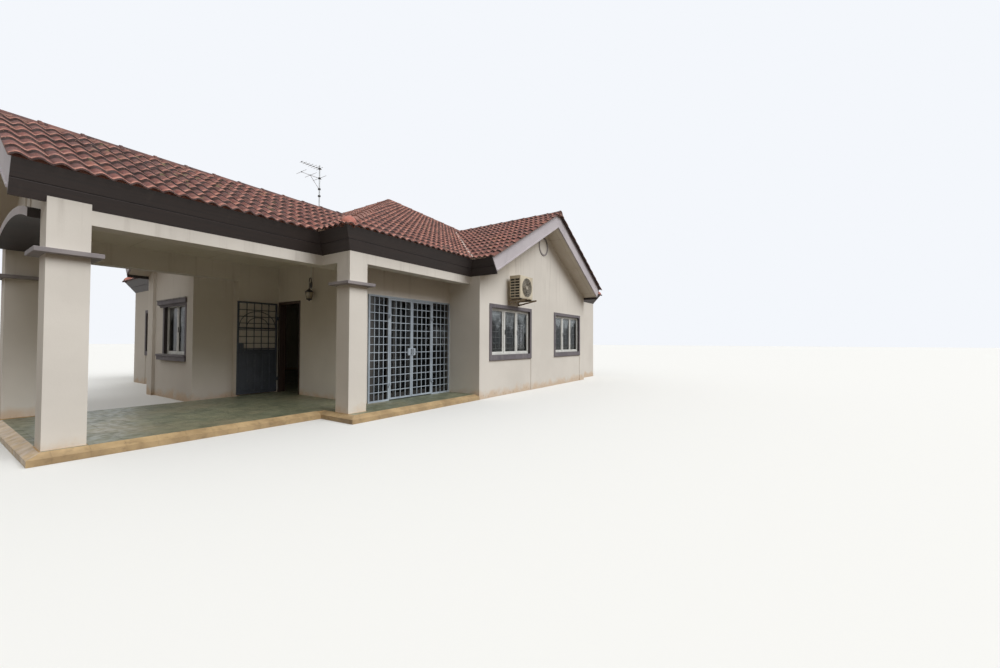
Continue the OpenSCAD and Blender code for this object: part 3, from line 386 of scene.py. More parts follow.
def quads(rows, columns):
    """The faces of a grid of points stored row by row, turned to face the left of the rows' order."""
    first = np.arange(rows - 1)[:, None] * columns + np.arange(columns - 1)
    return np.stack((first, first + 1, first + columns + 1, first + columns), -1).reshape(-1, 4)


def read(items, what, width=3, kind=float):
    """One value for each point, corner or face of a mesh, in rows of the given width."""
    values = np.zeros(len(items) * width, kind)
    items.foreach_get(what, values)
    return values.reshape(-1, width)


def set_chart(mesh, chart):
    """Gives each point its two numbers of the chart, as the piece's own UV layer."""
    corner = read(mesh.loops, "vertex_index", 1, int).ravel()
    mesh.uv_layers.new(name="tiles").data.foreach_set("uv", chart[corner].ravel())


def wave_height(tile_part):
    """The tile's cross-section: two broad rolls, each with one steeper flank.
    It is the squared sine of half a turn per wave, raised to a power below one to broaden
    the crest, with the wave's phase bent so that the crest leans to one side."""
    phase = (tile_part * 2) % 1.0
    return np.sin(np.pi * phase**0.8) ** 1.7


def plan_prism(name, region):
    """An upright solid over a plan region, used to cut a slope of tiles to its outline."""
    outline = np.array(region, float)
    edge = np.roll(outline, -1, 0)
    if np.sum(outline[:, 0] * edge[:, 1] - edge[:, 0] * outline[:, 1]) < 0:
        outline = outline[::-1]
    count = len(outline)
    points = np.vstack([np.c_[outline, np.full(count, level)] for level in (CUT_LOW, CUT_HIGH)])
    ring = np.arange(count)
    after = (ring + 1) % count
    sides = np.c_[ring, after, after + count, ring + count].tolist()
    return new_mesh(name, points, [ring[::-1], ring + count, *sides], None, None)


def tile_slope(name, foot, along, up, region):
    """A closed solid of tiles over one roof slope, cut to its plan region.
    A point is foot + a * along + s * up in plan. Its underside rises from the eaves height
    by the pitch, and its top is that plane plus bedding, the tiles' waves, a saw-tooth that
    is highest at each nose and falls to its head, a small side lap and a seeded tilt."""
    foot = np.array(foot, float)
    corners = np.array(region, float) - foot
    a_range, s_top = corners @ along, (corners @ up).max() + PAST_TOP
    first_tile = math.floor(a_range.min() / TILE_W) - 1
    tiles = math.ceil(a_range.max() / TILE_W) + 1 - first_tile
    courses = math.ceil((s_top + REACH) / COURSE)
    gaps = np.array([SIDE_GAP] + [0] * (ACROSS - 2) + [-SIDE_GAP])
    tile_part = np.tile(np.linspace(0, 1, ACROSS), tiles)
    tile_index = np.repeat(np.arange(tiles), ACROSS)
    a = (first_tile + tile_index + tile_part + np.tile(gaps, tiles)) * TILE_W
    row_part = np.tile(DOWN_PARTS, courses)
    row_course = np.repeat(np.arange(courses), len(DOWN_PARTS))
    s = (row_course + row_part) * COURSE - REACH
    tilt = seeded.uniform(-TILT, TILT, (courses, tiles))[row_course][:, tile_index]
    slide = seeded.uniform(-SLIDE, SLIDE, (courses, tiles))
    slide[0] = np.abs(slide[0])
    slide = slide[row_course][:, tile_index] * (1 - row_part)[:, None]
    saw = ((1 - row_part) * np.tile(ROUNDED_NOSE, courses))[:, None]
    top = BED + STEP * saw + SWELL * wave_height(tile_part) + tilt + LAP * (1 - tile_part)
    rows_s = np.concatenate([[0.0, -LIP_BACK, -REACH], s])
    rows_h = np.vstack([np.zeros(len(a)), top[2] - NOSE, top[0] - NOSE, top])
    count, wide = len(rows_s), len(a)
    slid = rows_s[:, None] + np.vstack([np.zeros((3, wide)), slide])
    plan = foot + a[None, :, None] * along + slid[..., None] * up
    points = np.concatenate([plan, (EAVE_Z + slid * RISE + rows_h)[..., None]], -1).reshape(-1, 3)
    ends = foot + np.outer([a[0], a[-1]], along) + rows_s[-1] * up
    points = np.vstack([points, np.c_[ends, np.full(2, EAVE_Z + rows_s[-1] * RISE)]])
    left, right = count * wide, count * wide + 1
    index = np.arange(count * wide).reshape(count, wide)
    faces = [*quads(count, wide).tolist(), [*index[0][::-1], left, right], [*index[-1], right, left]]
    faces += [[left, *index[:, 0]], [*index[::-1, -1], right]]
    if np.cross([*along, 0], [*up, 0])[2] < 0:
        faces = [face[::-1] for face in faces]
    slope = new_mesh(name, points, faces, tile_finish, None)
    cutter = plan_prism(name + "_cut", region)
    cut = slope.modifiers.new("cut", "BOOLEAN")
    cut.operation, cut.solver, cut.object = "INTERSECT", "MANIFOLD", cutter
    mesh = bpy.data.meshes.new_from_object(slope.evaluated_get(bpy.context.evaluated_depsgraph_get()))
    for scrap in (slope, cutter):
        bpy.data.meshes.remove(scrap.data)
    piece = linked(name, mesh)
    mesh.materials.clear()
    mesh.materials.append(tile_finish)
    mesh.materials.append(mortars["mortar"])
    places = read(mesh.vertices, "co")[:, :2] - foot
    set_chart(mesh, np.c_[places @ along / TILE_W, (places @ up + REACH + CHART_LEAD) / COURSE])
    sideways = np.abs(read(mesh.polygons, "normal")[:, :2] @ along) > 0.99
    middle = read(mesh.polygons, "center")[:, :2] @ along
    verges = foot @ along + np.array([a_range.min(), a_range.max()])
    at_end = (np.abs(middle[:, None] - verges) < AT_VERGE).any(1)
    mesh.polygons.foreach_set("material_index", (sideways & at_end).astype(int))
    mesh.shade_smooth()
    mesh.set_sharp_from_angle(angle=math.radians(TILE_CREASE))
    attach(piece, "house")
    return piece


X, Y = np.array([1.0, 0.0]), np.array([0.0, 1.0])
OUT = REACH + 0.03
BRIM = EAVE + OUT
wing_low, wing_high = WING_Y - WING_SPAN, WING_Y + WING_SPAN
porch_low, porch_high = PORCH_X - PORCH_SPAN, PORCH_X + PORCH_SPAN
bay_low = BAY_X - BAY_SPAN
wing_head, porch_head = (EAVE - WING_SPAN, WING_Y), (PORCH_X, PORCH_SPAN - EAVE)
bay_head, meet = (BAY_X, BAY_SPAN - EAVE), (MEET_X, OVERHANG - EAVE)
wing_front, wing_rear = (BRIM, wing_low - OUT), (BRIM, wing_high + OUT)
porch_foot, bay_foot = (porch_high + OUT, -BRIM), (bay_low - OUT, -BRIM)
slopes = {
    "main_roof": [
        ("garden", (EAVE, 0), Y, -X,
            [(BRIM, -BRIM), wing_front, wing_head, wing_rear, (BRIM, BRIM), (0, 0)]),
        ("rear", (0, EAVE), X, -Y, [(BRIM, BRIM), (-BRIM, BRIM), (0, 0)]),
        ("far", (-EAVE, 0), Y, X, [(-BRIM, BRIM), (-BRIM, -BRIM), (0, 0)]),
        ("front", (0, -EAVE), X, Y,
            [(-BRIM, -BRIM), bay_foot, bay_head, meet, porch_head, porch_foot, (BRIM, -BRIM), (0, 0)]),
    ],
    "wing_roof": [
        ("wing_front", (WING_END, wing_low), X, Y,
            [wing_front, (WING_END, wing_low - OUT), (WING_END, WING_Y), wing_head]),
        ("wing_rear", (WING_END, wing_high), X, -Y,
            [wing_rear, (WING_END, wing_high + OUT), (WING_END, WING_Y), wing_head]),
    ],
    "porch_roof": [
        ("porch_garden", (porch_high, PORCH_END), Y, -X,
            [(PORCH_X, PORCH_END), (porch_high + OUT, PORCH_END), porch_foot, porch_head]),
        ("porch_far", (porch_low, PORCH_END), Y, X, [(porch_low - OUT, PORCH_END), (PORCH_X, PORCH_END),
            porch_head, meet, (MEET_X, BAY_END), (porch_low - OUT, BAY_END)]),
    ],
    "bay_roof": [
        ("bay_near", (BAY_X + BAY_SPAN, BAY_END), Y, -X,
            [(BAY_X, BAY_END), (MEET_X, BAY_END), meet, bay_head]),
        ("bay_far", (bay_low, BAY_END), Y, X,
            [(bay_low - OUT, BAY_END), (BAY_X, BAY_END), bay_head, bay_foot]),
    ],
}  # fmt: skip
for node, faces in slopes.items():
    for name, *layout in faces:
        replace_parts(tile_slope(name + "_tiles", *layout), node)

# ---- Ridge and hip caps ----
# Half-round clay caps, tapered so that each one's collar laps the next, are bedded in
# mortar over the ridges and hips. A rounded starter of brighter clay closes each hip.
CAP_RADIUS, CAP_SHELL, CAP_LENGTH, CAP_OVER = 0.104, 0.012, 0.415, 0.05
CAP_ARC, CAP_POINTS = 104, 19
COLLAR = np.array([0.004, 0.008, 0.008, 0.002, 0.0, -0.005, -0.010])
COLLAR_PLACES = (0, 0.004, 0.034, 0.041, 0.048)
CAP_TURN, CAP_SHIFT = 0.012, 0.003
RIDGE_SINK, HIP_SINK = 0.045, 0.038
BED_STEP, BED_RAGGED, BED_WANDER = 0.06, 0.006, 0.07
RIDGE_BED, HIP_BED = (0.11, 0.05), (0.112, 0.052)

caps = {}
for name, fresh, aged in (
    ("ridge_cap_tile", (104, 74, 69), (80, 58, 57)),
    ("hip_cap_tile", (146, 102, 90), (112, 76, 68)),
):
    caps[name], tree, shader = new_material(name, 0.8)
    chart = parts(tree, add(tree, "UVMap", uv_map="tiles").outputs[0])
    clay = mix(tree, random_shade(tree, sums(tree, "FLOOR", chart[0]), 0.0, 3.0), fresh, aged)
    clay = stained(tree, clay, (3.0, 6), 0.4, 0.7, 0.6, (138, 92, 80))
    joint = span(tree, chart[1], 0.16, 0.3, 0.8, 0.0)
    joint = sums(tree, "MULTIPLY", span(tree, chart[1], 0.11, 0.15), joint)
    clay = mix(tree, joint, clay, (48, 30, 28))
    clay = stained(tree, clay, (12.0, 8), 0.56, 0.7, 0.7, (56, 38, 36))
    colour_in(tree, shader, stained(tree, clay, (34.0, 6), 0.6, 0.7, 0.6, (190, 154, 138)))
    bump(tree, shader, noise(tree, 50.0, 6), 0.002)

starter_finish = finish("starter_tile", 0.7, (206, 136, 120), (176, 108, 94), (5.0, 6),
    ((24.0, 6), 0.56, 0.7, 0.6, (132, 84, 74)), low=0.3, grain=((50.0, 6), 0.0015))  # fmt: skip


def turn_outwards(piece):
    """Faces of a closed piece turned to face outwards."""
    shape = bmesh.new()
    shape.from_mesh(piece.data)
    bmesh.ops.recalc_face_normals(shape, faces=shape.faces)
    shape.to_mesh(piece.data)
    shape.free()
    return piece


def soften(piece, degrees=CREASE):
    """Smooth shading, with every edge sharper than the angle kept crisp."""
    turn_outwards(piece).data.shade_smooth()
    piece.data.set_sharp_from_angle(angle=math.radians(degrees))
    return piece


def ring_faces(rings, sides, start=0):
    """Faces of closed rings of points laid one after another, with a flat face on both ends."""
    row = start + np.arange(rings - 1)[:, None] * sides
    first, after = row + np.arange(sides), row + (np.arange(sides) + 1) % sides
    walls = np.stack((first, after, after + sides, first + sides), -1).reshape(-1, 4).tolist()
    last = start + (rings - 1) * sides
    return [*walls, list(range(start + sides - 1, start - 1, -1)), list(range(last, last + sides))]


def ringed(name, rings, material, body="house", degrees=None):
    """A closed piece from rings of points laid one after another, with a flat face on both ends.
    Where an angle is given, it is shaded smooth over every edge less sharp than that."""
    rings = np.array(rings, float)
    piece = new_mesh(name, rings.reshape(-1, 3), ring_faces(*rings.shape[:2]), material, body)
    return soften(piece, degrees) if degrees else turn_outwards(piece)


def line(toe, head):
    """Where a ridge, hip or valley starts, its length, and the unit vectors across it, up along
    it and square to both."""
    toe, head = np.array(toe, float), np.array(head, float)
    along = (head - toe) / np.linalg.norm(head - toe)
    across = np.cross(along, (0, 0, 1.0))
    across /= np.linalg.norm(across)
    return toe, np.linalg.norm(head - toe), np.vstack([across, along, np.cross(across, along)])


def cap_run(name, toe, head, material):
    """Caps laid from the toe up to the head. Each is an arc of a tapered tube with an inner
    and an outer surface; its radius falls from the collar at its lower end to its head, and
    a small seeded turn and shift stand for the hand that laid it."""
    toe, total, axes = line(toe, head)
    count = max(1, round(total / CAP_LENGTH))
    each = total / count
    where = np.array([*COLLAR_PLACES, each * 0.6, each + CAP_OVER])
    angle = np.radians(np.linspace(-CAP_ARC, CAP_ARC, CAP_POINTS))
    angle = np.concatenate([angle, angle[::-1]])
    sides = len(angle)
    radius = (CAP_RADIUS + COLLAR)[:, None] - CAP_SHELL * (np.arange(sides) >= CAP_POINTS)
    ring = [radius * np.sin(angle), np.repeat(where[:, None], sides, 1), radius * np.cos(angle)]
    turn = seeded.uniform(-CAP_TURN, CAP_TURN, count)[:, None, None]
    shift = seeded.uniform(-CAP_SHIFT, CAP_SHIFT, count)[:, None, None]
    local = np.repeat(np.stack(ring, -1)[None], count, 0)
    local[..., 0] += shift + turn * local[..., 1]
    local[..., 1] += (np.arange(count) * each)[:, None, None]
    local[-1, :, :, 1] = np.minimum(local[-1, :, :, 1], total)
    size = len(where) * sides
    faces = [face for k in range(count) for face in ring_faces(len(where), sides, k * size)]
    piece = new_mesh(name, (toe + local @ axes).reshape(-1, 3), faces, material)
    part = np.tile(np.repeat(where / each, sides), count)
    set_chart(piece.data, np.stack([np.repeat(np.arange(count) + 0.5, size), part], -1))
    return soften(piece)


def bedding(name, toe, head, fall, width, top, depth=0.07, material=mortars["mortar"]):
    """A strip of hand-laid mortar under caps or along a valley. Its section is a low trapezium
    whose sides follow the slopes, which fall (or rise, below nought) by the given amount, and
    its edges wander by a seeded amount at every hand's breadth."""
    toe, total, axes = line(toe, head)
    stations = max(3, int(total / BED_STEP))
    side = np.array([-1, -0.82, -0.4, 0.4, 0.82, 1, 0.9, -0.9])
    drop = np.array([0.024, 0.004, 0, 0, 0.004, 0.024, depth, depth])
    ragged = seeded.normal(0, BED_RAGGED, (stations, 8)) * (drop < depth)
    wide = width * side * (1 + seeded.normal(0, BED_WANDER, (stations, 8)))
    high = top - np.abs(width * side) * fall - drop + ragged
    local = np.stack([wide, np.repeat(np.linspace(0, total, stations)[:, None], 8, 1), high], -1)
    return ringed(name, toe + local @ axes, material, degrees=50)


def ridge_z(half_span):
    """Height of a ridge's underside over a half span."""
    return EAVE_Z + half_span * RISE


wing_top = (*wing_head, ridge_z(WING_SPAN))
porch_top = (*porch_head, ridge_z(PORCH_SPAN))
bay_top = (*bay_head, ridge_z(BAY_SPAN))
CAP_BEYOND = 0.1
ridges = {
    "wing": ((WING_END, WING_Y, wing_top[2]), (wing_head[0] - CAP_BEYOND, WING_Y, wing_top[2])),
    "porch": ((PORCH_X, PORCH_END, porch_top[2]), (PORCH_X, porch_head[1] + CAP_BEYOND, porch_top[2])),
    "bay": ((BAY_X, BAY_END, bay_top[2]), (BAY_X, bay_head[1] + CAP_BEYOND, bay_top[2])),
}
for name, (toe, head) in ridges.items():
    sunk = np.array([0, 0, RIDGE_SINK])
    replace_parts(cap_run(name + "_ridge_caps", toe - sunk, head - sunk, caps["ridge_cap_tile"]), "ridge_caps")
    bedding(name + "_ridge_mortar", toe, head, RISE, *RIDGE_BED)

HIP_TOE = EAVE - 0.045
HIP_FALL = RISE / math.sqrt(2)
STARTER_MIDDLE, STARTER_LENGTH, STARTER_END = 0.09, 0.15, 0.17
STARTER_WIDE, STARTER_HIGH, STARTER_FOOT, STARTER_LIFT = 0.112, 0.098, -0.02, 0.015
STARTER_SIDES = 24
apex = (0, 0, ridge_z(EAVE))
dome = np.radians(np.linspace(4, 90, 9))
reach = np.concatenate([STARTER_MIDDLE - STARTER_LENGTH * np.cos(dome)[:-1], [STARTER_MIDDLE, STARTER_END]])
radius = np.concatenate([np.sin(dome) ** 0.7, [0.97]])
angle = np.radians(np.linspace(0, 360, STARTER_SIDES + 1)[:-1])
starter = np.stack([
    STARTER_WIDE * np.outer(radius, np.sin(angle)),
    np.repeat(reach[:, None], STARTER_SIDES, 1),
    np.maximum(STARTER_HIGH * np.outer(radius, np.cos(angle)), STARTER_FOOT) + STARTER_LIFT,
], -1)  # fmt: skip
hips = {"garden_front": (1, -1), "garden_rear": (1, 1), "far_rear": (-1, 1), "far_front": (-1, -1)}
for name, (x, y) in hips.items():
    toe = np.array([x * HIP_TOE, y * HIP_TOE, ridge_z(EAVE - HIP_TOE)])
    sunk = np.array([0, 0, HIP_SINK])
    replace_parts(cap_run(name + "_hip_caps", toe - sunk, apex - sunk, caps["hip_cap_tile"]), "hip_caps")
    bedding(name + "_hip_mortar", toe, apex, HIP_FALL, *HIP_BED)
    ringed(name + "_hip_starter", toe + starter @ line(toe, apex)[2], starter_finish, degrees=60)

VALLEY_START, VALLEY_BED = 0.08, (0.036, 0.044, 0.05)
brim_z = EAVE_Z - OUT * RISE
meeting = (*meet, ridge_z(EAVE + meet[1]))
valleys = {
    "wing_front": ((*wing_front, brim_z), wing_top),
    "wing_rear": ((*wing_rear, brim_z), wing_top),
    "porch_garden": ((*porch_foot, brim_z), porch_top),
    "porch_far": (meeting, porch_top),
    "bay_near": (meeting, bay_top),
    "bay_far": ((*bay_foot, brim_z), bay_top),
    "bay_gutter": ((MEET_X, BAY_END + 0.02, meeting[2]), meeting),
}
for name, ends in valleys.items():
    toe, head = np.array(ends, float)
    start = toe + (head - toe) * (VALLEY_START / np.linalg.norm(head - toe))
    fall = RISE if name == "bay_gutter" else HIP_FALL
    bright = mortars["white_mortar" if "wing" in name else "mortar"]
    bedding(name + "_valley_mortar", start, head, -fall, *VALLEY_BED, bright)

# ---- Fascias ----
# Two sawn boards, the upper one lapping the lower by a dark shadow line, lean outwards from
# the foot to the tiles. They are nailed to the rafter ends, mitred and painted dark brown.
BOARD, LIP, WING_LIP = 0.03, 0.025, 0.09
PLATE_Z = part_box("side_fascias")[0].z
NEAR_BEAM, FAR_BEAM, BAY_LEFT = porch_high - OVERHANG, porch_low + OVERHANG, bay_low + OVERHANG
saw_grain = (1.0, 8, (1.2, 1.2, 40))
fascia_finish = finish("fascia_wood", 0.6, (44, 33, 30), (35, 26, 24), saw_grain,
    ((0.9, 5), 0.45, 0.75, 0.6, (54, 42, 38)), ((1.0, 6, (7, 7, 1.2)), 0.6, 0.8, 0.22, (80, 70, 64)),
    grain=(saw_grain, 0.0012))  # fmt: skip


def sweep(name, section, path, material):
    """A section of (outward, upward) points carried along a level path of plan points.
    The outside is on the path's right, and each corner is mitred along its bisector."""
    path, section = np.array(path, float), np.array(section, float)
    step = np.diff(path, axis=0)
    step /= np.linalg.norm(step, axis=1)[:, None]
    side = np.c_[step[:, 1], -step[:, 0]]
    before, after = np.vstack([side[:1], side]), np.vstack([side, side[-1:]])
    mitre = (before + after) / (1 + np.sum(before * after, 1))[:, None]
    plan = path[:, None] + section[None, :, :1] * mitre[:, None]
    points = np.concatenate([plan, np.broadcast_to(section[None, :, 1:], (*plan.shape[:2], 1))], -1)
    return ringed(name, points, material)


def on_slant(part, depth=0.0):
    """A point on the fascia's outer face, part of the way up, and sunk by the depth."""
    rise = np.array([OVERHANG, EAVE_Z - PLATE_Z])
    inward = np.array([-rise[1], rise[0]]) / math.hypot(*rise)
    return np.array([0, PLATE_Z]) + rise * part + inward * depth


fascia_section = [
    on_slant(0, 0.004), on_slant(0.012), on_slant(0.462), on_slant(0.475, 0.004), on_slant(0.48, 0.014),
    on_slant(0.497, 0.014), on_slant(0.5, -0.001), on_slant(0.99), on_slant(1), (OVERHANG - BOARD, EAVE_Z),
    (0, PLATE_Z + BOARD * (EAVE_Z - PLATE_Z) / OVERHANG),
]  # fmt: skip
wing_near, wing_away = wing_low + OVERHANG, wing_high - OVERHANG
fascia_paths = {
    "garden_front_fascia": [(NEAR_BEAM, PORCH_END + LIP), (NEAR_BEAM, -SIDE), (SIDE, -SIDE),
        (SIDE, wing_near), (WING_END - WING_LIP, wing_near)],
    "rear_fascia": [(WING_END - WING_LIP, wing_away), (SIDE, wing_away), (SIDE, SIDE), (-SIDE, SIDE),
        (-SIDE, -SIDE), (BAY_LEFT, -SIDE), (BAY_LEFT, BAY_END + LIP)],
    "porch_far_fascia": [(FAR_BEAM, BAY_END + LIP), (FAR_BEAM, PORCH_END + LIP)],
}  # fmt: skip
for name, path in fascia_paths.items():
    piece = sweep(name, fascia_section, path, fascia_finish)
    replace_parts(piece, "side_fascias", "front_rear_fascias")
squeezed = [(0.17, -0.006), (0.232, -0.006), (0.25, 0.006), (0.252, 0.02), (0.17, 0.03)]
squeezed = [(out, EAVE_Z + up) for out, up in squeezed]
corners = {
    "porch": [(NEAR_BEAM, -SIDE - 0.16), (NEAR_BEAM, -SIDE), (NEAR_BEAM + 0.42, -SIDE)],
    "wing_front": [(SIDE, wing_near - 0.2), (SIDE, wing_near), (SIDE + 0.6, wing_near)],
    "wing_rear": [(SIDE + 0.6, wing_away), (SIDE, wing_away), (SIDE, wing_away + 0.2)],
}
for name, path in corners.items():
    sweep(name + "_corner_mortar", squeezed, path, mortars["white_mortar"])

# ---- Barge boards ----
# Wide boards painted light lilac-grey close the gables under the verge tiles. A small
# square fillet runs along the foot of each board, and screws hold it to the purlin ends.
BARGE_H, FILLET_H = 0.40, 0.035
FILLET_BACK, FILLET_OUT = 0.012, 0.002
barge_finish = finish("barge_wood", 0.6, (202, 195, 199), (186, 179, 184), (1.2, 6),
    ((1.0, 6, (5, 5, 1.0)), 0.58, 0.8, 0.5, (158, 152, 156)), grain=((30.0, 4), 0.001))  # fmt: skip
for node in ("left_barge_boards", "right_barge_boards"):
    dress(node, barge_finish, 0.003)


def drawn(name, section, ends, put, material):
    """A section of (across, up) points drawn straight between two ends, and put in place by a
    function on arrays of the run, the across and the up."""
    across, up = np.array(section, float).T
    points = put(np.repeat(ends, len(up)), np.tile(across, 2), np.tile(up, 2))
    return ringed(name, points.reshape(2, -1, 3), material)


gables = {
    "porch": (PORCH_SPAN, LIP, lambda run, across, up: np.c_[PORCH_X + across, PORCH_END + run, up]),
    "bay": (BAY_SPAN, LIP, lambda run, across, up: np.c_[BAY_X + across, BAY_END + run, up]),
    "wing": (WING_SPAN, WING_LIP, lambda run, across, up: np.c_[WING_END - run, WING_Y + across, up]),
}
for name, (half_span, lip, put) in gables.items():
    for label, sign in (("left", -1), ("right", 1)):
        reach = MEET_X - BAY_X if name == "bay" and sign == 1 else half_span - OVERHANG
        foot = ridge_z(half_span) - BARGE_H
        fillet = [(0, foot), (0, foot + FILLET_H), (sign * reach, foot + FILLET_H - reach * RISE),
            (sign * reach, foot - reach * RISE)]  # fmt: skip
        ends = (lip - FILLET_BACK, lip + FILLET_OUT)
        drawn(f"{name}_{label}_fillet", fillet, ends, put, barge_finish)

# ---- Windows ----
# Sliding windows of white aluminium stand in reveals lined dark: a box frame screwed to the
# brick, narrow sashes that meet in wide double stiles, rubber beads and tinted float glass.
GABLE_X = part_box("gable_wall")[1].x
BAY_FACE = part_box("bay_front_wall")[0].y + 0.06
SILL, HEAD = 1.0, 2.14
FRAME_BACK, MEMBER, BAND_OUT, BAND = 0.045, 0.045, 0.02, 0.002
WIDE, NARROW, PAIR_HALF, BAY_SHIFT, BAY_EDGE = 1.82, 1.22, 1.7, 0.2, 1.38
SASH_D, SASH_FOOT, SASH_TOP, END_STILE, MEETING_STILE = 0.026, 0.03, 0.022, 0.014, 0.044
TRACKS, BEAD, BEAD_BACK, BEAD_FRONT = (0.016, 0.008), 0.005, 0.008, 0.016
PULL = np.array([(0.012, -0.012, 1.5), (0.026, 0.002, 1.62)])
windows = [
    (GABLE_X, WING_Y - PAIR_HALF, 90, WIDE, 3), (GABLE_X, WING_Y + PAIR_HALF, 90, WIDE, 3),
    (BAY_X + BAY_SHIFT, BAY_FACE, 0, NARROW, 2), ((BAY_X - BAY_EDGE - SIDE) / 2, -SIDE, 0, WIDE, 3),
    (-SIDE, -SIDE / 2, -90, WIDE, 3), (-SIDE, SIDE / 2, -90, WIDE, 3),
    (-SIDE / 2, SIDE, 180, WIDE, 3), (SIDE / 2, SIDE, 180, WIDE, 3),
]  # fmt: skip

aluminium_finish = finish("white_aluminium", 0.42, (222, 222, 218), (206, 206, 202), (3.0, 6),
    ((30.0, 6), 0.55, 0.72, 0.5, (150, 146, 136)), sheen=((14.0, 4), 0.34, 0.55))  # fmt: skip
bead_finish = finish("rubber_bead", 0.7, (52, 52, 52), (74, 72, 68), (20.0, 5))
reveal_finish = finish("dark_reveal_lining", 0.75, (52, 46, 46), (70, 62, 60), (4.0, 6), grain=((60.0, 4), 0.001))
steel_finish = finish("painted_bars", 0.5, (214, 220, 216), (192, 200, 196), (6.0, 6),
    ((26.0, 6), 0.66, 0.74, 0.6, (132, 96, 70)))  # fmt: skip

glass_finish, tree, shader = new_material("tinted_glass", 0.04)
film = mix(tree, clouds(tree, (1.6, 6), 0.4, 0.8), (18, 24, 26), (44, 52, 54))
# A pale patch over the upper part of each pane is a painted reflection of the sky.
higher = sums(tree, "MULTIPLY", parts(tree, place(tree))[2], 0.55)
sky_reflection = sums(tree, "MULTIPLY_ADD", noise(tree, 2.4, 3), 0.9, higher)
colour_in(tree, shader, mix(tree, span(tree, sky_reflection, 1.36, 1.62, 0, 0.7), film, (206, 216, 222)))
tree.links.new(clouds(tree, (3.0, 5), 0.4, 0.8, 0.03, 0.12), shader.inputs["Roughness"])
shader.inputs["Alpha"].default_value = 0.42
shader.inputs["IOR"].default_value = 1.45


def boxes(name, members, material, put=None, body="house", edge=0.002):
    """Straight square-cut members, one closed box for each pair of low and high corners, put in
    place by a function on arrays of points, with their edges broken by a small bevel."""
    pick = np.array([(0, 0, 0), (1, 0, 0), (1, 1, 0), (0, 1, 0), (0, 0, 1), (1, 0, 1), (1, 1, 1), (0, 1, 1)])
    points = np.array(members, float)[:, pick, np.arange(3)].reshape(-1, 3)
    sides = np.array([(3, 2, 1, 0), (4, 5, 6, 7), (0, 1, 5, 4), (1, 2, 6, 5), (2, 3, 7, 6), (3, 0, 4, 7)])
    faces = (sides[None] + 8 * np.arange(len(members))[:, None, None]).reshape(-1, 4)
    piece = new_mesh(name, put(points) if put else points, faces, material, body)
    return round_edges(piece, edge, 1) if edge else piece


def at_window(window):
    """Turns points of a window's own frame, X along the wall and -Y outwards, into the house's."""
    x, y, turn = window[:3]
    cos, sin = round(math.cos(math.radians(turn))), round(math.sin(math.radians(turn)))
    return lambda p: np.c_[x + p[:, 0] * cos - p[:, 1] * sin, y + p[:, 0] * sin + p[:, 1] * cos, p[:, 2]]


def ring_boxes(low, high, left, right=None, foot=None, top=None):
    """Corners of the four members of a rectangular frame between a low and a high corner. Each
    member is as wide as the left one unless its own width is given."""
    right, foot, top = (left if width is None else width for width in (right, foot, top))
    (x0, y0, z0), (x1, y1, z1) = low, high
    inner, beyond = x0 + left, x1 - right
    return [
        ((x0, y0, z0), (inner, y1, z1)), ((beyond, y0, z0), (x1, y1, z1)),
        ((inner, y0, z0), (beyond, y1, z0 + foot)), ((inner, y0, z1 - top), (beyond, y1, z1)),
    ]  # fmt: skip


dress("window_frames", aluminium_finish, 0.003)
dress("window_glass", glass_finish)
dress("window_grilles", steel_finish, 0.0015)
low, high = SILL + MEMBER, HEAD - MEMBER
for number, window in enumerate(windows):
    width, panels = window[3:]
    put = at_window(window)
    light = (width - MEMBER * (panels + 1)) / panels
    sash, beads, pulls = [], [], []
    for k in range(panels):
        left = -width / 2 + MEMBER + k * (light + MEMBER)
        right = left + light
        stiles = END_STILE if k == 0 else MEETING_STILE, END_STILE if k == panels - 1 else MEETING_STILE
        near = FRAME_BACK + TRACKS[k % 2]
        sash += ring_boxes((left, near, low), (right, near + SASH_D, high), *stiles, SASH_FOOT, SASH_TOP)
        beads += ring_boxes((left + stiles[0], near + BEAD_BACK, low + SASH_FOOT),
            (right - stiles[1], near + BEAD_FRONT, high - SASH_TOP), BEAD)  # fmt: skip
        if k:
            pulls.append(PULL + (left, near, 0))
    for label, members, material in (("sashes", sash, aluminium_finish), ("beads", beads, bead_finish),
            ("pulls", pulls, bead_finish)):  # fmt: skip
        boxes(f"window_{number}_{label}", members, material, put, edge=0.0015)
    # A thin dark sheet lines the reveal round all four sides.
    reveal = ring_boxes((-width / 2, BAND - BAND_OUT, SILL), (width / 2, FRAME_BACK, HEAD), BAND)
    boxes(f"window_{number}_reveal", reveal, reveal_finish, put, edge=0)

# ---- Bay window mouldings ----
# The bay window has a run cement hood and sill. A stepped cornice is pulled along the hood's
# foot with a profile board, a thin drip slab caps it, and a round nosing ends the sill.
HOOD_OUT, HOOD_REACH, HOOD_TOP = 0.09, 0.85, HEAD + 0.09
COVE, COVE_FOOT, COVE_OUT = 0.045, HEAD - 0.048, BAND_OUT + 0.012
DRIP_OUT, WASH_OUT, NOSE_R, NOSE_OUT = HOOD_OUT + 0.012, HOOD_OUT + 0.01, 0.022, 0.02
cap_grey = finish("weathered_cement", 0.85, (160, 156, 152), (120, 116, 114), (3.0, 7),
    ((9.0, 8), 0.5, 0.75, 0.8, (72, 68, 66)), grain=((40.0, 5), 0.003))  # fmt: skip
bay_window = at_window(windows[2])
hollow = np.radians(np.linspace(0, 90, 7))
cornice = [(BAND_OUT, HEAD - 0.055), (COVE_OUT, HEAD - 0.055)]
cornice += [(COVE_OUT + COVE * (1 - math.cos(t)), COVE_FOOT + COVE * math.sin(t)) for t in hollow]
cornice += [(BAND_OUT, HEAD - 0.003)]
drip = [(0.0, HOOD_TOP), (DRIP_OUT, HOOD_TOP), (DRIP_OUT, HOOD_TOP + 0.022), (0.0, HOOD_TOP + 0.034)]
nose = np.radians(np.linspace(-90, 90, 9))
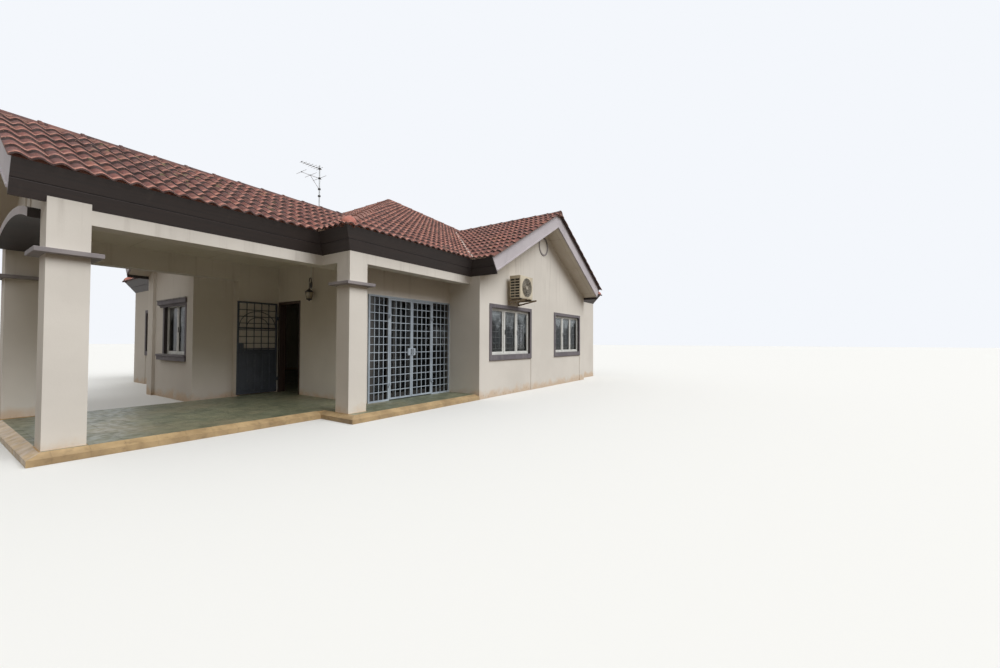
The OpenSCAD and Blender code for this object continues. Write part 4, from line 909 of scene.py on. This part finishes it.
nosing = [(HOOD_OUT + NOSE_OUT * math.cos(t), SILL - NOSE_R + NOSE_R * math.sin(t)) for t in nose]
nosing = [(HOOD_OUT, SILL - 2 * NOSE_R), *nosing, (HOOD_OUT, SILL)]
wash = [(0.03, SILL), (WASH_OUT, SILL), (WASH_OUT, SILL + 0.003), (0.03, SILL + 0.012)]
for name, section, material in (
    ("bay_hood_cornice", cornice, cement_paints["trim"]),
    ("bay_hood_drip", drip, cap_grey),
    ("bay_sill_nosing", nosing, cement_paints["trim"]),
    ("bay_sill_wash", wash, cap_grey),
):
    piece = drawn(name, section, (-HOOD_REACH, HOOD_REACH),
        lambda run, out, up: bay_window(np.c_[run, -out, up]), material)  # fmt: skip
    round_edges(piece, 0.002, 1)

# ---- Entrance frame ----
# Three hardwood members, planed and oiled dark brown, are morticed at the head and nailed to
# plugs in the brick round the doorway.
fibre = (1.0, 8, (60, 60, 2.5))
door_frame_finish = finish("door_wood", 0.5, (62, 42, 32), (42, 28, 22), fibre, grain=(fibre, 0.001))
dress("entrance_frame", door_frame_finish, 0.004)

# ---- Entrance gate ----
# A welded steel gate on lift-off pins: a folded sheet with upright ribs fills its foot, square
# bars with an arched bar and turned drops fill its head, and a box lock joins the middle rail.
GATE_X, GATE_FRONT, GATE_W, STILE = 1.62, -4.693, 0.85, 0.034
GATE_INNER = GATE_W - 2 * STILE
RIB_LOW, RIB_HIGH, RIBS, RIB_SIDES, SHEET_OUT, RIB_OUT = 0.22, 1.03, 5, (0.14, 0.86), 0.004, 0.0135
ARCH_FOOT, ARCH_R, RAIL_H, RAIL_HALF, RAILS = 1.62, 0.007, 0.03, 0.011, (1.585, 1.12)
LOCK_LOW, LOCK_HIGH = (GATE_W - 0.125, -0.026, 1.09), (GATE_W - 0.004, 0.026, 1.27)
HANDLE_R, HANDLE_IN = 0.006, 0.05

gate_finish = finish("gate_steel", 0.45, (62, 67, 76), (50, 55, 63), (2.5, 6),
    ((14.0, 7), 0.58, 0.72, 0.6, (84, 87, 90)), ((30.0, 7), 0.66, 0.74, 0.8, (104, 70, 52)),
    sheen=((12.0, 4), 0.38, 0.6), grain=((70.0, 4), 0.0006))  # fmt: skip
dark_finish = finish("dark_steel", 0.5, (58, 54, 50), (40, 36, 34), (9.0, 6),
    ((34.0, 7), 0.62, 0.72, 0.8, (98, 66, 46)), grain=((80.0, 4), 0.0006))  # fmt: skip


def circles(run, guide, sides):
    """A circle of unit vectors square to each run, begun in the direction square to run and guide."""
    first = np.cross(run, guide)
    first /= np.linalg.norm(first, axis=1)[:, None]
    second = np.cross(run, first)
    angle = np.linspace(0, 2 * np.pi, sides, endpoint=False)[:, None]
    return np.cos(angle) * first[:, None] + np.sin(angle) * second[:, None]


def tube(name, path, radius, material, body="house", sides=8):
    """A round bar along a smooth path. At each point its ring lies square to the path, and is
    turned by the axis in which the path is flattest."""
    path = np.array(path, float)
    run = np.gradient(path, axis=0)
    run /= np.linalg.norm(run, axis=1)[:, None]
    guide = np.eye(3)[int(np.argmin(np.ptp(path, axis=0)))]
    return ringed(name, path[:, None] + radius * circles(run, guide, sides), material, body, 50)


def at_gate(points):
    """Points of the open gate's own frame, X away from its hinge and Y out of its face, in the house's."""
    return np.c_[GATE_X + points[:, 1], GATE_FRONT - points[:, 0], points[:, 2]]


def bowed(base, reach, middle, half):
    """How far out and how high a bowed handle's bar runs, from its upper to its lower end."""
    turn = np.radians(np.linspace(0, 180, 13))
    return base + reach * np.sin(turn) ** 0.6, middle + half * np.cos(turn)


dress("gate_hinge_pins", dark_finish, 0.001)
dress("entrance_gate", gate_finish, 0.0015, "entrance_gate")
ribs = []
for near, far in ((-RIB_OUT, -SHEET_OUT), (SHEET_OUT, RIB_OUT)):
    for k in range(RIBS):
        left, right = (STILE + (k + side) * GATE_INNER / RIBS for side in RIB_SIDES)
        ribs.append(((left, near, RIB_LOW), (right, far, RIB_HIGH)))
boxes("gate_ribs", ribs, gate_finish, at_gate, "entrance_gate", 0.005)
swing = np.radians(np.linspace(0, 180, 33))
for label, width, rise in (("outer", GATE_INNER / 2 - 0.004, 0.36), ("inner", GATE_INNER * 0.3, 0.22)):
    arch = np.c_[GATE_W / 2 + width * np.cos(swing), np.full(33, 0.0), ARCH_FOOT + rise * np.sin(swing)]
    tube(f"gate_{label}_arch", at_gate(arch), ARCH_R, gate_finish, body="entrance_gate")
rails = [((STILE, -RAIL_HALF, z), (GATE_W - STILE, RAIL_HALF, z + RAIL_H)) for z in RAILS]
boxes("gate_rails", rails, gate_finish, at_gate, "entrance_gate", 0.003)
boxes("gate_lock_box", [(LOCK_LOW, LOCK_HIGH)], gate_finish, at_gate, "entrance_gate", 0.004)
out, up = bowed(0.024, 0.034, 1.18, 0.055)
for label, side in (("back", -1), ("front", 1)):
    path = np.c_[np.full_like(up, GATE_W - HANDLE_IN), side * out, up]
    tube(f"gate_handle_{label}", at_gate(path), HANDLE_R, dark_finish, body="entrance_gate")

# ---- Verandah grille ----
# Fixed lattices and two hinged leaves of welded square bar, painted pale blue-grey, are lugged
# to the walls. Square posts stand behind them at the hinges, and box locks join the leaves. The
# posts' dark steel is painted shade for the shaded gaps and post sides at the hinges.
grille_low, grille_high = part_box("verandah_grille")
GRILLE_X = grille_low.x
GRILLE_MID, LEAF_W, GRILLE_GAP = -3.50, 0.60, 0.006
LOCK_BACK, LOCK_FRONT, LOCK_FOOT, LOCK_TOP, LOCK_SIDES = 0.008, 0.038, 1.02, 1.17, (0.006, 0.105)
POST_W, POST_BACK, POST_CLEAR, POST_BITE, POST_TOP = 0.035, 0.028, 0.018, 0.0012, grille_high.z + 0.004

grille_finish = finish("grille_steel", 0.42, (172, 182, 192), (150, 160, 172), (3.0, 6),
    ((24.0, 7), 0.64, 0.73, 0.75, (120, 92, 76)), grain=((70.0, 4), 0.0006))  # fmt: skip
dress("verandah_grille", grille_finish, 0.0015)
out, up = bowed(GRILLE_X + 0.036, 0.03, 1.095, 0.05)
for body, sign in (("grille_leaf_left", -1), ("grille_leaf_right", 1)):
    dress(body, grille_finish, 0.0015, body)
    near, far = sorted(GRILLE_MID + sign * side for side in LOCK_SIDES)
    lock = [((GRILLE_X - LOCK_BACK, near, LOCK_FOOT), (GRILLE_X + LOCK_FRONT, far, LOCK_TOP))]
    boxes(body + "_lock", lock, grille_finish, None, body, 0.004)
    path = np.c_[out, np.full_like(up, GRILLE_MID + sign * 0.03), up]
    tube(body + "_handle", path, HANDLE_R, dark_finish, body=body)
hinges = [GRILLE_MID + sign * (LEAF_W + GRILLE_GAP + POST_CLEAR + POST_W / 2) for sign in (-1, 1)]
posts = [
    ((GRILLE_X - POST_BACK, y - POST_W / 2, FLOOR_TOP), (GRILLE_X + POST_BITE, y + POST_W / 2, POST_TOP))
    for y in hinges
]
# The posts' dark steel is painted shade for the shaded gaps at the hinges.
boxes("grille_posts_shade_dark", posts, dark_finish, edge=0.003)

# ---- Sliding door ----
# A bronze aluminium frame carries two fixed outer panels and two inner ones that slide behind
# them. Each panel is four mitred members round one pane held by rubber beads. Thin cover strips
# of the same bronze close the joint between the frame and the wall.
DOOR_X, DOOR_MEMBER, PANEL, RUN = 4.79, 0.04, 0.03, 0.0003
MOVING_X = DOOR_X - PANEL - 0.006
DOOR_BEAD, BITE, STRIP, PULL_SIZE = 0.006, 0.004, 0.005, (0.005, 0.014, 0.18)
DOOR_LOW, DOOR_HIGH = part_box("sliding_frame")
PANEL_W = (DOOR_HIGH.y - DOOR_LOW.y - 2 * DOOR_MEMBER) / 4 + 0.015

bronze_finish = finish("bronze_aluminium", 0.45, (46, 43, 40), (34, 32, 30), (4.0, 6),
    ((30.0, 6), 0.55, 0.72, 0.5, (84, 78, 68)))  # fmt: skip
door_glass = finish("dark_glass", 0.05, (10, 13, 15), (26, 30, 31), (1.6, 6), low=0.4, high=0.8,
    Alpha=0.7, IOR=1.33)  # fmt: skip


def along_y(points):
    """Points with X along the house's Y and Y towards the inside of the room, in the house's frame."""
    return np.c_[-points[:, 1], points[:, 0], points[:, 2]]


def glazed_panel(name, face_x, y0, y1, body, node, low, high):
    """One glazed panel: four members, a pane in their middle and a bead round both its faces."""
    members = ring_boxes((y0, -face_x, low), (y1, PANEL - face_x, high), DOOR_MEMBER, foot=2 * DOOR_MEMBER)
    piece = boxes(name + "_members", members, bronze_finish, along_y, body)
    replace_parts(piece, node)
    y0, y1, low, high = y0 + DOOR_MEMBER, y1 - DOOR_MEMBER, low + 2 * DOOR_MEMBER, high - DOOR_MEMBER
    beads = ring_boxes((y0, 0.008 - face_x, low), (y1, 0.022 - face_x, high), DOOR_BEAD)
    boxes(name + "_beads", beads, bead_finish, along_y, body, 0.001)
    pane = [((y0 - BITE, 0.012 - face_x, low - BITE), (y1 + BITE, 0.018 - face_x, high + BITE))]
    boxes(name + "_pane", pane, door_glass, along_y, body, 0)


def sized(lows, size):
    """Low and high corners of boxes of one size."""
    lows = np.array(lows, float)
    return np.stack([lows, lows + size], 1)


low, high = (DOOR_LOW.y, -DOOR_HIGH.x, DOOR_LOW.z), (DOOR_HIGH.y, -DOOR_LOW.x, DOOR_HIGH.z)
outer = ring_boxes(low, high, DOOR_MEMBER)
piece = boxes("door_frame", outer, bronze_finish, along_y, edge=0.003)
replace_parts(piece, "sliding_frame")
door_mid = (DOOR_LOW.y + DOOR_HIGH.y) / 2
start, end = DOOR_LOW.y + DOOR_MEMBER, DOOR_HIGH.y - DOOR_MEMBER
foot, top = DOOR_LOW.z + DOOR_MEMBER, DOOR_HIGH.z - DOOR_MEMBER
glazed_panel("fixed_panel_left", DOOR_X, start, start + PANEL_W, "house", "sliding_frame", foot, top)
glazed_panel("fixed_panel_right", DOOR_X, end - PANEL_W, end, "house", "sliding_frame", foot, top)
for body, y0, inset in (
    ("sliding_panel_left", door_mid - 0.003 - PANEL_W, PANEL_W - 0.026),
    ("sliding_panel_right", door_mid + 0.003, 0.012),
):
    glazed_panel(body, MOVING_X, y0, y0 + PANEL_W, body, body, foot + RUN, top - RUN)
    pull = sized([(MOVING_X - 0.001, y0 + inset, 1.05)], PULL_SIZE)
    boxes(body + "_pull", pull, bead_finish, None, body, 0.001)
covers = [
    ((GRILLE_X, grille_low.y, FLOOR_TOP), (GRILLE_X + STRIP, DOOR_LOW.y, grille_high.z)),
    ((GRILLE_X, DOOR_HIGH.y, FLOOR_TOP), (GRILLE_X + STRIP, grille_high.y, grille_high.z)),
]
boxes("door_cover_strips", covers, bronze_finish, edge=0.001)

# ---- Cooling unit ----
# A pressed steel case, stove-enamelled ivory, with a round fan opening under a wire guard and
# louvres stamped in its near side. It is bolted by two channel feet to wall brackets.
UNIT_LOW, UNIT_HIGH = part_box("cooling_unit")
FOOT_H, FOOT_W, CORNER, FAN_R, LID = 0.02, 0.038, 0.02, 0.238, 0.002
LIP_OUT, HUB_R, SPOKES, GUARD_WIRE, SPOKE_WIRE = 0.006, 0.042, 12, 0.0034, 0.0022
BLADES, BLADE_ARC, BLADE_LEAN, BLADE_RISE, BLADE_SHEET = 3, 78, 14, 0.03, 0.003
BLADE_ROOT, BLADE_REACH, BLADE_TAPER = 0.04, 0.175, 0.02
SLOT_SIZE, SLOT_STEP, SLOT_COLUMNS = (0.118, 0.002, 0.048), 0.069, (0.026, 0.162)
HOOD_SIZE, HOOD_SHIFT = (0.124, 0.009, 0.007), (-0.003, -0.0065, 0.046)
SCREW_COLUMNS, SCREW_ROWS = (0.02, 0.29), (0.06, 0.3, 0.52)

case_finish = finish("unit_case", 0.42, (212, 201, 178), (192, 180, 156), (3.0, 6),
    ((1.0, 6, (16, 16, 1.5)), 0.56, 0.78, 0.5, (146, 130, 104)), sheen=((10.0, 4), 0.35, 0.6),
    grain=((60.0, 4), 0.0005))  # fmt: skip
guard_finish = finish("guard_wire", 0.5, (184, 176, 160), (156, 148, 134), (12.0, 5))
hollow_finish = finish("unit_inside", 0.8, (40, 37, 32), (58, 54, 47), (8.0, 5))


def rounded_outline(half_wide, half_high, corner):
    """A rectangle with quarter-circle corners, as 20 corner points and 5 more on each straight side."""
    angle = np.radians(np.arange(4)[:, None] * 90 + np.linspace(0, 90, 5))
    middle = np.array([(1, 1), (-1, 1), (-1, -1), (1, -1)]) * (half_wide - corner, half_high - corner)
    ring = middle[:, None] + corner * np.stack([np.cos(angle), np.sin(angle)], -1)
    ring = np.vstack([ring.reshape(-1, 2), ring[0, :1]])
    straights = [np.linspace(k, k + 1, 7)[:6] for k in (4, 9, 14, 19)]
    where = np.unique(np.concatenate([np.arange(20), *straights]))
    return np.stack([np.interp(where, np.arange(21), ring[:, k]) for k in (0, 1)], -1)


front = UNIT_HIGH.x
fan = np.array([(UNIT_LOW.y + UNIT_HIGH.y) / 2 + 0.01, (UNIT_LOW.z + FOOT_H + UNIT_HIGH.z) / 2])
half_wide = (UNIT_HIGH.y - UNIT_LOW.y) / 2
half_high = (UNIT_HIGH.z - LID - UNIT_LOW.z - FOOT_H) / 2
centre = np.array([(UNIT_LOW.y + UNIT_HIGH.y) / 2, (UNIT_LOW.z + FOOT_H + UNIT_HIGH.z - LID) / 2])
compass = centre + rounded_outline(half_wide, half_high, CORNER) - fan
compass /= np.linalg.norm(compass, axis=1)[:, None]
shell = [(UNIT_LOW.x, 0.003), (UNIT_LOW.x + 0.003, 0.0), (front - 0.012, 0.0), (front - 0.0035, 0.0035),
    (front, 0.012)]  # fmt: skip
opening = [(front, 0.012), (front + LIP_OUT, 0.006), (front + LIP_OUT, 0.0), (front - 0.05, -0.004)]
rings = []
for depth, inset in shell:
    flat = centre + rounded_outline(half_wide - inset, half_high - inset, CORNER)
    rings.append(np.c_[np.full(len(flat), depth), flat])
for depth, reach in opening:
    rings.append(np.c_[np.full(len(compass), depth), fan + compass * (FAN_R + reach)])
case = ringed("unit_case", rings, case_finish, degrees=30)
case.data.materials.append(hollow_finish)
middle = read(case.data.polygons, "center")
inside = (middle[:, 0] < front - 0.01) & (np.linalg.norm(middle[:, 1:] - fan, axis=1) < FAN_R)
inside &= middle[:, 0] > UNIT_LOW.x + 0.1
case.data.polygons.foreach_set("material_index", inside.astype(int))
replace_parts(case, "cooling_unit")
lid_low = (UNIT_LOW.x + 0.001, UNIT_LOW.y - 0.002, UNIT_HIGH.z - 0.03)
lid_high = (front - 0.001, UNIT_HIGH.y + 0.002, UNIT_HIGH.z)
boxes("unit_lid", [(lid_low, lid_high)], case_finish, edge=0.004)
feet = [UNIT_LOW.y + 0.06, UNIT_HIGH.y - 0.09]
channels = sized([(UNIT_LOW.x, y - 0.004, UNIT_LOW.z) for y in feet], (front - UNIT_LOW.x, FOOT_W, FOOT_H))
boxes("unit_feet", channels, dark_finish, edge=0.003)


def rods(name, starts, ends, radius, material, sides=8):
    """Straight round bars, one from each start to its end. Each is a ring at both ends, square
    to the bar and turned by an upright guide, or by a sideways one where the bar stands upright."""
    starts, ends = np.array(starts, float), np.array(ends, float)
    run = (ends - starts) / np.linalg.norm(ends - starts, axis=1)[:, None]
    guide = np.where(np.abs(run[:, 2:]) < 0.9, (0.0, 0.0, 1.0), (1.0, 0.0, 0.0))
    radius = np.broadcast_to(np.asarray(radius, float), len(starts))[:, None, None]
    ring = radius * circles(run, guide, sides)
    points = np.stack([starts[:, None] + ring, ends[:, None] + ring], 1).reshape(-1, 3)
    faces = [face for k in range(len(starts)) for face in ring_faces(2, sides, k * 2 * sides)]
    return soften(new_mesh(name, points, faces, material), 50)


def hoops(name, radii, wire, x, middle, material):
    """Rings of wire round one middle in a plane of fixed X: each is a torus, a circle of the wire's
    radius carried round a circle of the ring's radius."""
    around, across = np.radians(np.arange(0, 360, 7.5))[:, None], np.radians(np.arange(0, 360, 60))
    reach = np.array(radii)[:, None, None] + wire * np.cos(across)
    points = np.stack([
        np.broadcast_to(x + wire * np.sin(across), reach.shape[:1] + (48, 6)),
        middle[0] + reach * np.cos(around),
        middle[1] + reach * np.sin(around),
    ], -1).reshape(-1, 3)  # fmt: skip
    step, side = np.arange(48)[:, None] * 6, np.arange(6)
    following, beside = (step + 6) % 288, (side + 1) % 6
    faces = np.stack([step + side, following + side, following + beside, step + beside], -1).reshape(-1, 4)
    faces = (faces[None] + 288 * np.arange(len(radii))[:, None, None]).reshape(-1, 4)
    return soften(new_mesh(name, points, faces, material), 60)


radii = np.arange(0.045, FAN_R, 0.0165)
hoops("unit_guard_rings", radii, GUARD_WIRE, front + 0.003, fan, guard_finish)
spoke = np.radians(np.arange(0, 360, 360 // SPOKES))
turns = np.c_[np.cos(spoke), np.sin(spoke)]
starts, ends = (np.c_[np.full(SPOKES, front + 0.0005), fan + turns * reach] for reach in (0.03, FAN_R))
rods("unit_guard_spokes", starts, ends, SPOKE_WIRE, guard_finish, sides=6)
rods("unit_hub", [(front - 0.03, *fan)], [(front + 0.005, *fan)], HUB_R, guard_finish, sides=32)
part, turn = np.meshgrid(np.linspace(0, 1, 7), np.linspace(0, 1, 9))
for k in range(BLADES):
    angle = np.radians(360 // BLADES * k + BLADE_ARC * turn - BLADE_LEAN * part)
    reach = BLADE_ROOT + (BLADE_REACH - BLADE_TAPER * turn) * part
    depth = front - 0.042 + BLADE_RISE * turn
    points = np.stack([depth, fan[0] + reach * np.cos(angle), fan[1] + reach * np.sin(angle)], -1)
    piece = new_mesh(f"unit_blade_{k}", points.reshape(-1, 3), quads(9, 7), hollow_finish)
    piece.data.shade_smooth()
    sheet = piece.modifiers.new("sheet", "SOLIDIFY")
    sheet.thickness, sheet.offset = BLADE_SHEET, 0.0
slots = np.array([
    (x, UNIT_LOW.y - 0.0012, UNIT_LOW.z + 0.05 + SLOT_STEP * k)
    for x in (UNIT_LOW.x + along for along in SLOT_COLUMNS) for k in range(7)
])  # fmt: skip
# The louvre openings are drawn as thin dark plates: painted shade of the unit's inside.
boxes("unit_louvre_slots", sized(slots, SLOT_SIZE), hollow_finish, edge=0.0)
boxes("unit_louvre_hoods", sized(slots + HOOD_SHIFT, HOOD_SIZE), case_finish)
screws = [(UNIT_LOW.x + along, UNIT_LOW.y, UNIT_LOW.z + up) for along in SCREW_COLUMNS for up in SCREW_ROWS]
rods("unit_screws", np.array(screws) - (0, 0.004, 0), screws, 0.006, guard_finish)

# ---- Unit brackets ----
# Two brackets of angle steel, each with a brace, are bolted through the wall. The arms run on
# past the unit, where a wider one once stood, and each bolt keeps its washer.
bracket_finish = finish("bracket_paint", 0.6, (158, 142, 116), (116, 98, 76), (8.0, 6),
    ((26.0, 7), 0.58, 0.7, 0.8, (82, 58, 42)), grain=((80.0, 4), 0.0006))  # fmt: skip
dress("cooling_brackets", bracket_finish, 0.0015)
bolts = np.array([(GABLE_X, y + 0.015, UNIT_LOW.z - drop) for y in feet for drop in (0.03, 0.10)])
for label, start, end, radius, material, sides in (
    ("washers", 0.0, 0.033, 0.012, dark_finish, 16),
    ("bolts", 0.03, 0.042, 0.007, guard_finish, 6),
):
    rods("bracket_" + label, bolts + (start, 0, 0), bolts + (end, 0, 0), radius, material, sides=sides)

# ---- Entrance lantern ----
# A cast lantern with a pale ribbed glass hangs from a hooked arm on an oval wall plate. The
# cable comes down to the plate from the ceiling in a thin conduit held by saddles.
LAMP_X, LAMP_Y, LAMP_FOOT = 3.08, -4.77, 2.18
WALL_Y, CEILING = -4.64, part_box("porch_ceiling")[0].z
ARM_OUT, ARM_SPAN, ARM_Z, ARM_R = 0.13, 0.14, 2.585, 0.0085
PLATE_X, PLATE_W, PLATE_H, OVAL_Z = LAMP_X - ARM_SPAN, 0.04, 0.085, 2.545
RIB_R, RIB_STAND, CONDUIT_R, TURNED_SIDES = 0.0032, 0.003, 0.008, 24
opal_finish = finish("opal_glass", 0.25, (176, 162, 132), (132, 118, 92), (6.0, 5))


def turned(name, profile, material):
    """A turned part of the lantern: an outline of (radius, height) points carried round its axis."""
    radius, height = np.array(profile, float).T[:, :, None]
    angle = np.linspace(0, 2 * np.pi, TURNED_SIDES, endpoint=False)
    around = LAMP_X + radius * np.cos(angle), LAMP_Y + radius * np.sin(angle), LAMP_FOOT + height + 0 * angle
    return ringed(name, np.stack(around, -1), material, degrees=35)


hood = [(0.078, 0.178), (0.085, 0.182), (0.085, 0.190), (0.070, 0.205), (0.045, 0.232), (0.020, 0.246),
    (0.014, 0.262), (0.006, 0.27)]  # fmt: skip
seat = [(0.004, -0.004), (0.012, 0.0), (0.016, 0.012), (0.040, 0.018), (0.058, 0.030), (0.062, 0.038),
    (0.058, 0.044)]  # fmt: skip
globe = [(0.050, 0.040), (0.060, 0.060), (0.072, 0.100), (0.077, 0.140), (0.076, 0.180)]
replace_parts(turned("lantern_roof", hood, dark_finish), "entrance_lamp")
turned("lantern_seat", seat, dark_finish)
turned("lantern_glass", globe, opal_finish)
radius, height = np.array(globe).T
for k, angle in enumerate(np.radians(np.arange(30, 390, 60))):
    x, y = LAMP_X + (radius + RIB_STAND) * math.cos(angle), LAMP_Y + (radius + RIB_STAND) * math.sin(angle)
    tube(f"lantern_rib_{k}", np.c_[x, y, LAMP_FOOT + height], RIB_R, dark_finish, sides=6)
turn = np.linspace(0, math.pi, 19)
part = (1 - np.cos(turn)) / 2
hook = np.c_[PLATE_X + ARM_SPAN * part, WALL_Y - ARM_OUT * part, ARM_Z + 0.10 * np.sin(turn)]
root = [(PLATE_X, WALL_Y, 2.50), (PLATE_X, WALL_Y - 0.004, 2.54)]
hook = np.vstack([*root, hook[1:], (LAMP_X, LAMP_Y, 2.45)])
tube("lantern_arm", hook, ARM_R, dark_finish, sides=10)
oval = np.radians(np.arange(0, 360, 15))
plate = []
for out, part in ((0.0, 1.0), (0.009, 1.0), (0.014, 0.82)):
    across, up = PLATE_X + part * PLATE_W * np.cos(oval), OVAL_Z + part * PLATE_H * np.sin(oval)
    plate.append(np.c_[across, np.full(len(oval), WALL_Y - out), up])
ringed("lantern_plate", plate, dark_finish, degrees=35)
start, end = ([(PLATE_X, WALL_Y - 0.007, z)] for z in (2.62, CEILING))
rods("lantern_conduit", start, end, CONDUIT_R, aluminium_finish, sides=12)
saddles = sized([(PLATE_X - 0.016, WALL_Y - 0.017, z) for z in (2.72, 2.94)], (0.032, 0.017, 0.014))
boxes("conduit_saddles", saddles, aluminium_finish, edge=0.003)

# ---- Roof aerial ----
# A thin galvanised mast stands in a foot on the tiles and carries two booms of aluminium rods
# on dark moulded clamps. A brace runs from the mast to the lower boom.
MAST_PLACE, MAST_TOP = (1.66, -3.695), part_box("roof_aerial")[1].z
x, y = MAST_PLACE
FOOT_Z, FOOT_HALF = ridge_z(EAVE + y) + 0.075, 0.06
MAST_R, SOCKET_R, BOOM_R, ROD_R, BRACE_R = 0.014, 0.021, 0.007, 0.0045, 0.006
BOOM, BEHIND = 0.48, 0.06
high_z, low_z = MAST_TOP - 0.09, MAST_TOP - 0.34
galvanised = finish("galvanised", 0.4, (196, 198, 198), (166, 168, 168), (12.0, 6), Metallic=0.6)

lean = np.array([0, math.cos(PITCH), math.sin(PITCH)])
level = np.array([1.0, 0, 0])
square = [(-FOOT_HALF, -FOOT_HALF), (FOOT_HALF, -FOOT_HALF), (FOOT_HALF, FOOT_HALF), (-FOOT_HALF, FOOT_HALF)]
base = np.array([(across, up, out) for out in (0.0005, 0.008) for across, up in square])
base = np.array([x, y, FOOT_Z]) + base @ np.vstack([level, lean, np.cross(level, lean)])
base = ringed("aerial_foot", base.reshape(2, 4, 3), galvanised)
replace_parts(round_edges(base, 0.002), "roof_aerial")
starts, ends = [(x, y, FOOT_Z - 0.01), (x, y, FOOT_Z + 0.006)], [(x, y, MAST_TOP), (x, y, FOOT_Z + 0.06)]
rods("aerial_mast", starts, ends, [MAST_R, SOCKET_R], galvanised, sides=16)
starts, ends = ([(x, along, z) for z in (high_z, low_z)] for along in (y + BEHIND, y - BOOM))
rods("aerial_booms", starts, ends, BOOM_R, galvanised, sides=10)
elements = [(0.15 - 0.012 * k, y - BOOM * k / 6, high_z + 0.006) for k in range(7)]
elements += [(0.30 - 0.04 * k, y - BOOM * k / 2, low_z + 0.006) for k in range(3)]
starts, ends = ([(x + side * half, along, z) for half, along, z in elements] for side in (-1, 1))
rods("aerial_elements", starts, ends, ROD_R, galvanised)
clips = sized([(x - 0.012, along - 0.009, z - 0.014) for half, along, z in elements], (0.024, 0.018, 0.024))
boxes("aerial_clips", clips, bead_finish, edge=0.003)
clamps = [(x - 0.026, y - 0.028, z - 0.022) for z in (high_z, low_z, low_z - 0.28, low_z - 0.46)]
boxes("aerial_clamps", sized(clamps, (0.052, 0.052, 0.044)), bead_finish, edge=0.005)
rods("aerial_brace", [(x, y - 0.01, low_z - 0.28)], [(x, y - 0.25, low_z - 0.004)], BRACE_R, galvanised)

# ---- Studio ----
# A plain pale floor, a soft white sky and one wide soft lamp from the garden side, seen from
# where the photograph was taken.
CAMERA_YAW, CAMERA_PITCH, CAMERA_ROLL = 0.592526, 0.0199908, 0.00402403
CAMERA_PLACE = (11.26, -9.60, 1.313)
LENS, SENSOR = 14.45, 36.0
FLOOR_REACH, FLOOR_DROP = 200, 0.002


def looked_at(tree):
    """One for rays that come straight from the camera, by a mirror or through glass, else nought."""
    rays = add(tree, "LightPath").outputs
    straight = sums(tree, "MAXIMUM", rays["Is Camera Ray"], rays["Is Glossy Ray"])
    return sums(tree, "MAXIMUM", straight, rays["Is Transmission Ray"])


stage_finish, tree, shader = new_material("pale_floor", 0.9)
colour_in(tree, shader, mix(tree, looked_at(tree), (74, 59, 38), (236, 236, 234)))
sides = [(-1, -1), (1, -1), (1, 1), (-1, 1)]
ground = [(across * FLOOR_REACH, along * FLOOR_REACH, -FLOOR_DROP) for across, along in sides]
new_mesh("studio_floor", ground, [(0, 1, 2, 3)], stage_finish, None)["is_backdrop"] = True

world = bpy.data.worlds.new("sky")
bpy.context.scene.world = world
world.use_nodes = True
tree, sky = world.node_tree, world.node_tree.nodes["Background"].inputs
seen = looked_at(tree)
aloft = parts(tree, add(tree, "TexCoord").outputs["Generated"])[2]
light = mix(tree, span(tree, aloft, 0.0, 0.45), (228, 198, 154), (250, 249, 246))
tree.links.new(mix(tree, seen, light, (244, 247, 252)), sky["Color"])
tree.links.new(sums(tree, "MAXIMUM", seen, span(tree, aloft, 0.0, 0.6, 0.13, 0.80)), sky["Strength"])

lamp = bpy.data.lights.new("soft_lamp", "SUN")
lamp.energy, lamp.color, lamp.angle = 2.1, (0.97, 0.985, 1.0), math.radians(40)
linked("soft_lamp", lamp).rotation_euler = (0.0, math.radians(48), math.radians(8))

camera_data = bpy.data.cameras.new("camera")
camera_data.lens, camera_data.sensor_width = LENS, SENSOR
camera_data.clip_start, camera_data.clip_end = 0.05, 500
camera = linked("camera", camera_data)
bpy.context.scene.camera = camera
camera.matrix_world = Matrix.Translation(CAMERA_PLACE)
for turn, axis in ((CAMERA_YAW, "Z"), (math.pi / 2 + CAMERA_PITCH, "X"), (CAMERA_ROLL, "Z")):
    camera.matrix_world @= Matrix.Rotation(turn, 4, axis)
bpy.context.scene.view_settings.view_transform = "Standard"

low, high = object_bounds()
